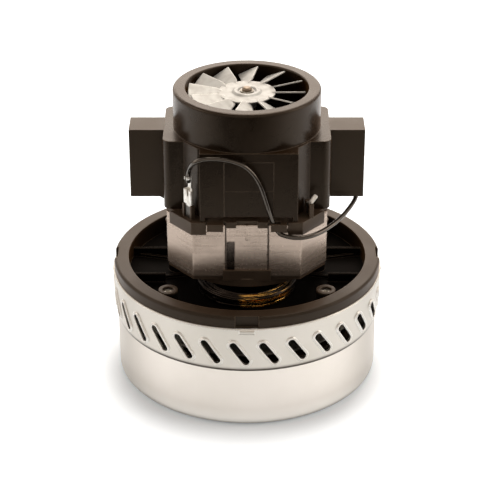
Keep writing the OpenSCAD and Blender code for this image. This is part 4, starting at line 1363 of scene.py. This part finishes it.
    def barrel(self, low: float, height: float, ends: Point) -> bpy.types.Object:
        """A strip rolled round the lead, open at the front.

        Args:
            low: the height of its lower edge.
            height: how tall it is.
            ends: how its ends stand, outwards along X.

        Returns:
            The barrel.
        """
        only()
        bpy.ops.mesh.primitive_circle_add(
            vertices=self.barrel_sides, radius=self.barrel_r * MM, location=(0.0, 0.0, low * MM)
        )
        piece = bpy.context.object
        bpy.ops.object.transform_apply(location=True, rotation=True, scale=True)
        bpy.ops.object.mode_set(mode="EDIT")
        bpy.ops.mesh.select_all(action="SELECT")
        draw_out(0.0, 0.0, height)
        pick(piece, Element.FACE, lambda p, n: p.y < 0 and abs(p.x) < self.barrel_gap)
        bpy.ops.mesh.delete(type="FACE")
        end_reach = self.barrel_r / 2
        for sign in (-1, 1):
            pick(piece, Element.POINT, lambda p, n: p.y < -end_reach and 0.0 < sign * p.x < end_reach)
            shift(sign * ends[0], ends[1], ends[2])
        bpy.ops.object.mode_set(mode="OBJECT")
        thicken(piece, self.sheet, 1.0)
        return piece

    def build(self) -> None:
        """Model the blades and the receptacle."""
        self.blades()
        parts = [self.receptacle_body(), self.receptacle_neck()]
        for (low, height), ends in zip(self.crimps, (self.ends_in, self.ears_out)):
            parts.append(self.barrel(low, height, ends))
        piece = gather("lead_receptacle", parts)
        stand(piece, -self.corner[0], -self.corner[1], -self.corner_turn)
        settle(piece, TINNED_BRIGHT, Body.FRAME, Slot.TINNED_BRASS, "lead_connector")


@dataclass
class FieldWinding:
    """One field coil as a random-laid bundle of fine turns round its pole. Lengths are in millimetres.

    A place on a turn is a number from 0 to 24: down the right side to 1, a bend to 4, the lower arc to 10,
    a bend to 13, up the left side to 14, a bend to 17, the upper arc to 21 and a bend to 24.

    Attributes:
        wire_d: the thickness of the wire.
        across: how many turns lie side by side.
        layers: how many turns lie over each other.
        span: how wide and how deep the bundle is.
        half_width: half the width of the pole that it goes round.
        depth: how far from the axis its straight sides lie.
        bend: the inner radius of its bends.
        low: the height where the lower bends start.
        high: the height where the upper bends start.
        bulge_low: how far the lower arc bulges.
        bulge_high: how far the upper arc bulges.
        looseness: how far a wire strays.
        disorder: how many places a turn may lie out of order.
        held: how much a wire strays outside the lower arc, as a share.
        wave_rates: how fast it strays along a turn: twice outwards, and once in depth.
        rings: extra sides of its round, two for each.
        front_seed: sets the lay of the front coil.
        rear_seed: sets the lay of the rear coil.
    """

    wire_d: float = 0.7
    across: int = 7
    layers: int = 7
    span: float = 5.3
    half_width: float = 21.15
    depth: float = 15.0
    bend: float = 3.0
    low: float = 65.5
    high: float = 107.0
    bulge_low: float = 22.5
    bulge_high: float = 6.0
    looseness: float = 0.34
    disorder: float = 5.0
    held: float = 0.4
    wave_rates: Point = (0.9, 2.1, 1.1)
    rings: int = 1
    front_seed: int = 5
    rear_seed: int = 8

    def on_turn(self, place: float, out: float, layer: float) -> Point:
        """One point of a turn.

        Args:
            place: the place on the turn, 0 to 24.
            out: how far out from the pole the wire lies.
            layer: how deep in the bundle it lies.

        Returns:
            The point for the front coil.
        """
        half, radius = self.half_width + out, self.bend + layer
        if place < 1 or 13 <= place < 14:
            share = place if place < 1 else 14 - place
            height = self.high + (self.low - self.high) * share
            return (half if place < 1 else -half, -self.depth + layer, height)
        bend_y = -self.depth - self.bend
        if 4 <= place < 10:
            angle = math.pi * (place - 4) / 6
            bulge = (self.bulge_low + out) * math.sin(angle)
            return (half * math.cos(angle), bend_y - bulge, self.low - radius)
        if 17 <= place < 21:
            angle = math.pi * (21 - place) / 4
            bulge = (self.bulge_high + out) * math.sin(angle)
            return (half * math.cos(angle), bend_y - bulge, self.high + radius)
        low_end = place < 14
        right = place < 4 or place >= 21
        start = 1 if place < 4 else 13 if low_end else 14 if place < 17 else 24
        angle = math.pi / 2 * abs(place - start) / 3
        rise = radius * math.sin(angle)
        height = self.low - rise if low_end else self.high + rise
        return (half if right else -half, bend_y + radius * math.cos(angle), height)

    def lay(self, rng: random.Random) -> List[Tuple[float, float]]:
        """Where each turn lies in the bundle, layer by layer with neighbours out of order."""
        count = self.across * self.layers
        order = sorted(range(count), key=lambda i: i + rng.uniform(-self.disorder, self.disorder))
        step = self.span / (self.across - 1)
        places = []
        for i in order:
            layer, row = divmod(i, self.across)
            row = row if layer % 2 == 0 else self.across - 1 - row
            places.append((row * step, layer * self.span / (self.layers - 1)))
        return places

    def path(self, turned: bool, seed: int) -> List[Point]:
        """The whole winding as one line.

        Args:
            turned: True for the coil at the back.
            seed: sets the lay of the wire.

        Returns:
            The points of the line.
        """
        rng = random.Random(seed)
        lows, highs = self.lay(rng), self.lay(rng)
        line: List[Point] = []
        down, lower = [i / 8 for i in range(8)], [1 + i / 2 for i in range(24)]
        up, upper = [13 + place for place in down], [14 + i / 2 for i in range(20)]
        sign = -1.0 if turned else 1.0
        for turn, (low, high) in enumerate(zip(lows, highs)):
            before = highs[turn - 1] if turn else high
            waves = [(rng.uniform(0, 6.28), rng.uniform(0.6, 1.0) * self.looseness) for _ in range(4)]
            for place in down + lower + up + upper:
                if place < 1:
                    share, start, end = place, before, low
                elif place < 13:
                    share, start, end = 0.0, low, low
                elif place < 14:
                    share, start, end = place - 13, low, high
                else:
                    share, start, end = 0.0, high, high
                ease = share * share * (3 - 2 * share)
                free = self.held
                if place < 13:
                    free = math.sin(math.pi * min(max((place - 2) / 10, 0.0), 1.0))
                stray = [
                    free * size * math.sin(place * rate + phase)
                    for (phase, size), rate in zip(waves, self.wave_rates)
                ]
                out = start[0] + (end[0] - start[0]) * ease + stray[0] + stray[1]
                layer = start[1] + (end[1] - start[1]) * ease + stray[2]
                x, y, z = self.on_turn(place, out, min(max(layer, 0.0), self.span))
                line.append((sign * x, sign * y, z))
        return line

    def build(self) -> None:
        """Wind both coils."""
        coils = (("front_winding", False, self.front_seed), ("rear_winding", True, self.rear_seed))
        for name, turned, seed in coils:
            piece = wire(name, self.path(turned, seed), self.wire_d, self.rings)
            settle(piece, WIRE_GOLD, Body.FRAME, Slot.COPPER_WIRE, name.replace("winding", "field_coil"))


@dataclass
class BrushGear:
    """Covers, tubes, carbon brushes and their springs. Lengths are in millimetres.

    Attributes:
        spring_r: the radius of a spring.
        wire_d: the thickness of its wire.
        turns: how many turns it has.
        turn_points: how many points are on each turn.
        closing: how far its end turns are closed up, as a share.
        start: how far from the axis it starts.
        end: how far from the axis it ends.
        height: the height of its middle.
        fixed_end: where its cover holds it; not used.
        pressed: the share of its length that is left when the brush is pushed in; not used.
        rings: extra sides of the wire's round, two for each.
    """

    spring_r: float = 2.3
    wire_d: float = 0.8
    turns: int = 7
    turn_points: int = 20
    closing: float = 0.25
    start: float = 42.4
    end: float = 59.35
    height: float = 123.25
    fixed_end: float = 59.8
    pressed: float = 0.55
    rings: int = 3

    def spring_path(self, side: Side) -> List[Point]:
        """The line of one spring, with its end turns closed up."""
        steps = self.turns * self.turn_points
        line = []
        for i in range(steps + 1):
            share = i / steps
            eased = share - math.sin(share * 4 * math.pi) / (4 * math.pi) * self.closing
            angle = i / self.turn_points * 2 * math.pi
            x = self.start + (self.end - self.start) * eased
            y, z = self.spring_r * math.cos(angle), self.height + self.spring_r * math.sin(angle)
            line.append((side.value * x, side.value * y, z))
        return line

    def build(self) -> None:
        """Dress the brush gear and coil its springs."""
        dress(COVER_BLACK, "right_brush_cover", "left_brush_cover")
        dress(BRASS_DRAWN, "right_brush_tube", "left_brush_tube")
        dress(CARBON_GREY, "right_brush", "left_brush")
        for side in Side:
            word = side.name.lower()
            piece = wire(f"{word}_spring_coil", self.spring_path(side), self.wire_d, self.rings)
            settle(piece, SPRING_STEEL, Body.FRAME, Slot.SPRING_STEEL, f"{word}_brush_spring")
            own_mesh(piece)


@dataclass
class TurbineShell:
    """The can, the slotted band and the turbine's inside."""

    def build(self) -> None:
        """Dress the shell."""
        dress(CAN_SATIN, "lower_can")
        dress(BAND_SATIN, "slotted_band")
        dress(IMPELLER_METAL, "first_impeller", "second_impeller")
        dress(HOUSING_BLACK, "stage_diffuser")
        dress(ZINC_BRIGHT, "turbine_plate", "stage_spacer", "bearing_spacer")
        dress(ZINC_BRIGHT, "impeller_washer", "impeller_nut")


@dataclass
class MotorFrame:
    """The end bracket, the stator and the brush housing."""

    def build(self) -> None:
        """Dress the frame."""
        dress(BRACKET_BLACK, "motor_bracket")
        dress(HOUSING_BLACK, "brush_housing")
        dress(INSULATOR_BROWN, "lower_insulator", "upper_insulator")
        dress(CORE_SHEETS, "stator_core")
        dress(ZINC_BRIGHT, "bracket_screws", "through_bolts")


@dataclass
class Rotor:
    """All that turns: shaft, armature, commutator, fan and bearings. Lengths are in millimetres.

    Attributes:
        slots: how many slots the armature has.
        slot_circle: how far from the axis the middle of a slot lies.
        slot_room: how far from there its wires lie.
        inner_share: how much nearer the coil that ends in a slot lies.
        core_low: the height of the core's lower end.
        core_high: the height of its upper end.
        turns: how many turns a coil has.
        reach: how many slots a coil spans.
        wire_d: the thickness of the wire.
        lean_in: how near the axis the end turns come.
        end_rise: how far they stand out beyond the core.
        end_steps: how many steps an end turn has.
        swerve: how far an end turn swerves round the shaft.
        first_rise: how far the first coil's end turns stand out, as a share.
        inner_rise: how far a coil's first turn stands out, as a share.
        dip: how soon an end turn comes near the axis, as a power.
        crown: how soon it rises, as a power.
        rings: extra sides of the wire's round, two for each.
    """

    slots: int = 12
    slot_circle: float = 15.6
    slot_room: float = 1.75
    inner_share: float = 0.55
    core_low: float = 72.0
    core_high: float = 102.0
    turns: int = 7
    reach: int = 5
    wire_d: float = 0.85
    lean_in: float = 7.2
    end_rise: float = 5.9
    end_steps: int = 14
    swerve: float = 0.06
    first_rise: float = 0.35
    inner_rise: float = 0.75
    dip: float = 0.7
    crown: float = 0.6
    rings: int = 1

    def in_slot(self, slot: int, turn: int, going_up: bool) -> Tuple[float, float]:
        """Where one wire of a slot stands, as an angle and a distance from the axis.

        Args:
            slot: the slot's number.
            turn: the turn's number in its coil.
            going_up: True for the coil that starts in this slot.

        Returns:
            The angle in radians and the distance in millimetres.
        """
        around = (turn + (0.5 if going_up else 0.0)) * 2 * math.pi / self.turns
        spread = self.slot_room * (1.0 if going_up else self.inner_share)
        angle = (slot + 0.5) * 2 * math.pi / self.slots
        distance = self.slot_circle + spread * math.cos(around)
        return angle + spread * math.sin(around) / self.slot_circle, distance

    def end_turn(
        self, start: Tuple[float, float], end: Tuple[float, float], level: float, rise: float
    ) -> List[Point]:
        """A wire's way across one end of the core, round the shaft.

        Args:
            start: the angle and distance that it leaves from.
            end: the angle and distance that it goes to.
            level: the height of the core's end.
            rise: how far beyond the end it stands at its middle.

        Returns:
            The points between the two slots.
        """
        line = []
        for i in range(1, self.end_steps):
            share = i / self.end_steps
            lift = math.sin(math.pi * share)
            turned = share - math.sin(share * 2 * math.pi) * self.swerve
            angle = start[0] + (end[0] - start[0]) * turned
            far = start[1] + (end[1] - start[1]) * share
            distance = far - (far - self.lean_in) * lift ** self.dip
            height = level + rise * lift ** self.crown
            line.append((distance * math.cos(angle), distance * math.sin(angle), height))
        return line

    @staticmethod
    def upright(place: Tuple[float, float], start: float, end: float) -> List[Point]:
        """A wire's way along a slot.

        Args:
            place: its angle and its distance from the axis.
            start: the height that it starts at.
            end: the height that it ends at.

        Returns:
            Its two ends and its middle.
        """
        x, y = place[1] * math.cos(place[0]), place[1] * math.sin(place[0])
        return [(x, y, z) for z in (start, (start + end) / 2, end)]

    def winding_path(self) -> List[Point]:
        """The whole armature winding as one line, coil after coil."""
        line: List[Point] = []
        low, high = self.core_low, self.core_high
        for slot in range(self.slots):
            depth = self.first_rise + (1 - self.first_rise) * slot / (self.slots - 1)
            for turn in range(self.turns):
                up = self.in_slot(slot, turn, True)
                down = self.in_slot(slot + self.reach, turn, False)
                outer = self.inner_rise + (1 - self.inner_rise) * turn / (self.turns - 1)
                rise = self.end_rise * depth * outer
                line += self.upright(up, low, high)
                line += self.end_turn(up, down, high, rise)
                line += self.upright(down, high, low)
                line += self.end_turn(down, up, low, -rise)
        return line

    def build(self) -> None:
        """Dress the rotor and wind its armature."""
        winding = wire("armature_turns", self.winding_path(), self.wire_d, self.rings)
        settle(winding, WIRE_BROWN, Body.ROTOR, Slot.COPPER_WIRE, "armature_winding")
        dress(SHAFT_STEEL, "shaft")
        for bearing in ("lower", "upper"):
            dress(GROUND_STEEL, *(f"{bearing}_bearing_{ring}" for ring in ("outer", "balls", "inner")))
        dress(ROTOR_SHEETS, "armature_core")
        dress(BAR_COPPER, "commutator")
        dress(FAN_METAL, "cooling_fan")
        dress(RING_STEEL, "fan_lock_ring")


def main() -> None:
    """Build the studio and every sub-assembly in order."""
    logging.basicConfig(level=logging.INFO, format="%(name)s: %(message)s")
    assemblies = (
        Studio(), JumperLead(), Terminals(), FieldWinding(),
        BrushGear(), TurbineShell(), MotorFrame(), Rotor(),
    )
    for part in assemblies:
        part.build()


if __name__ == "__main__":
    main()
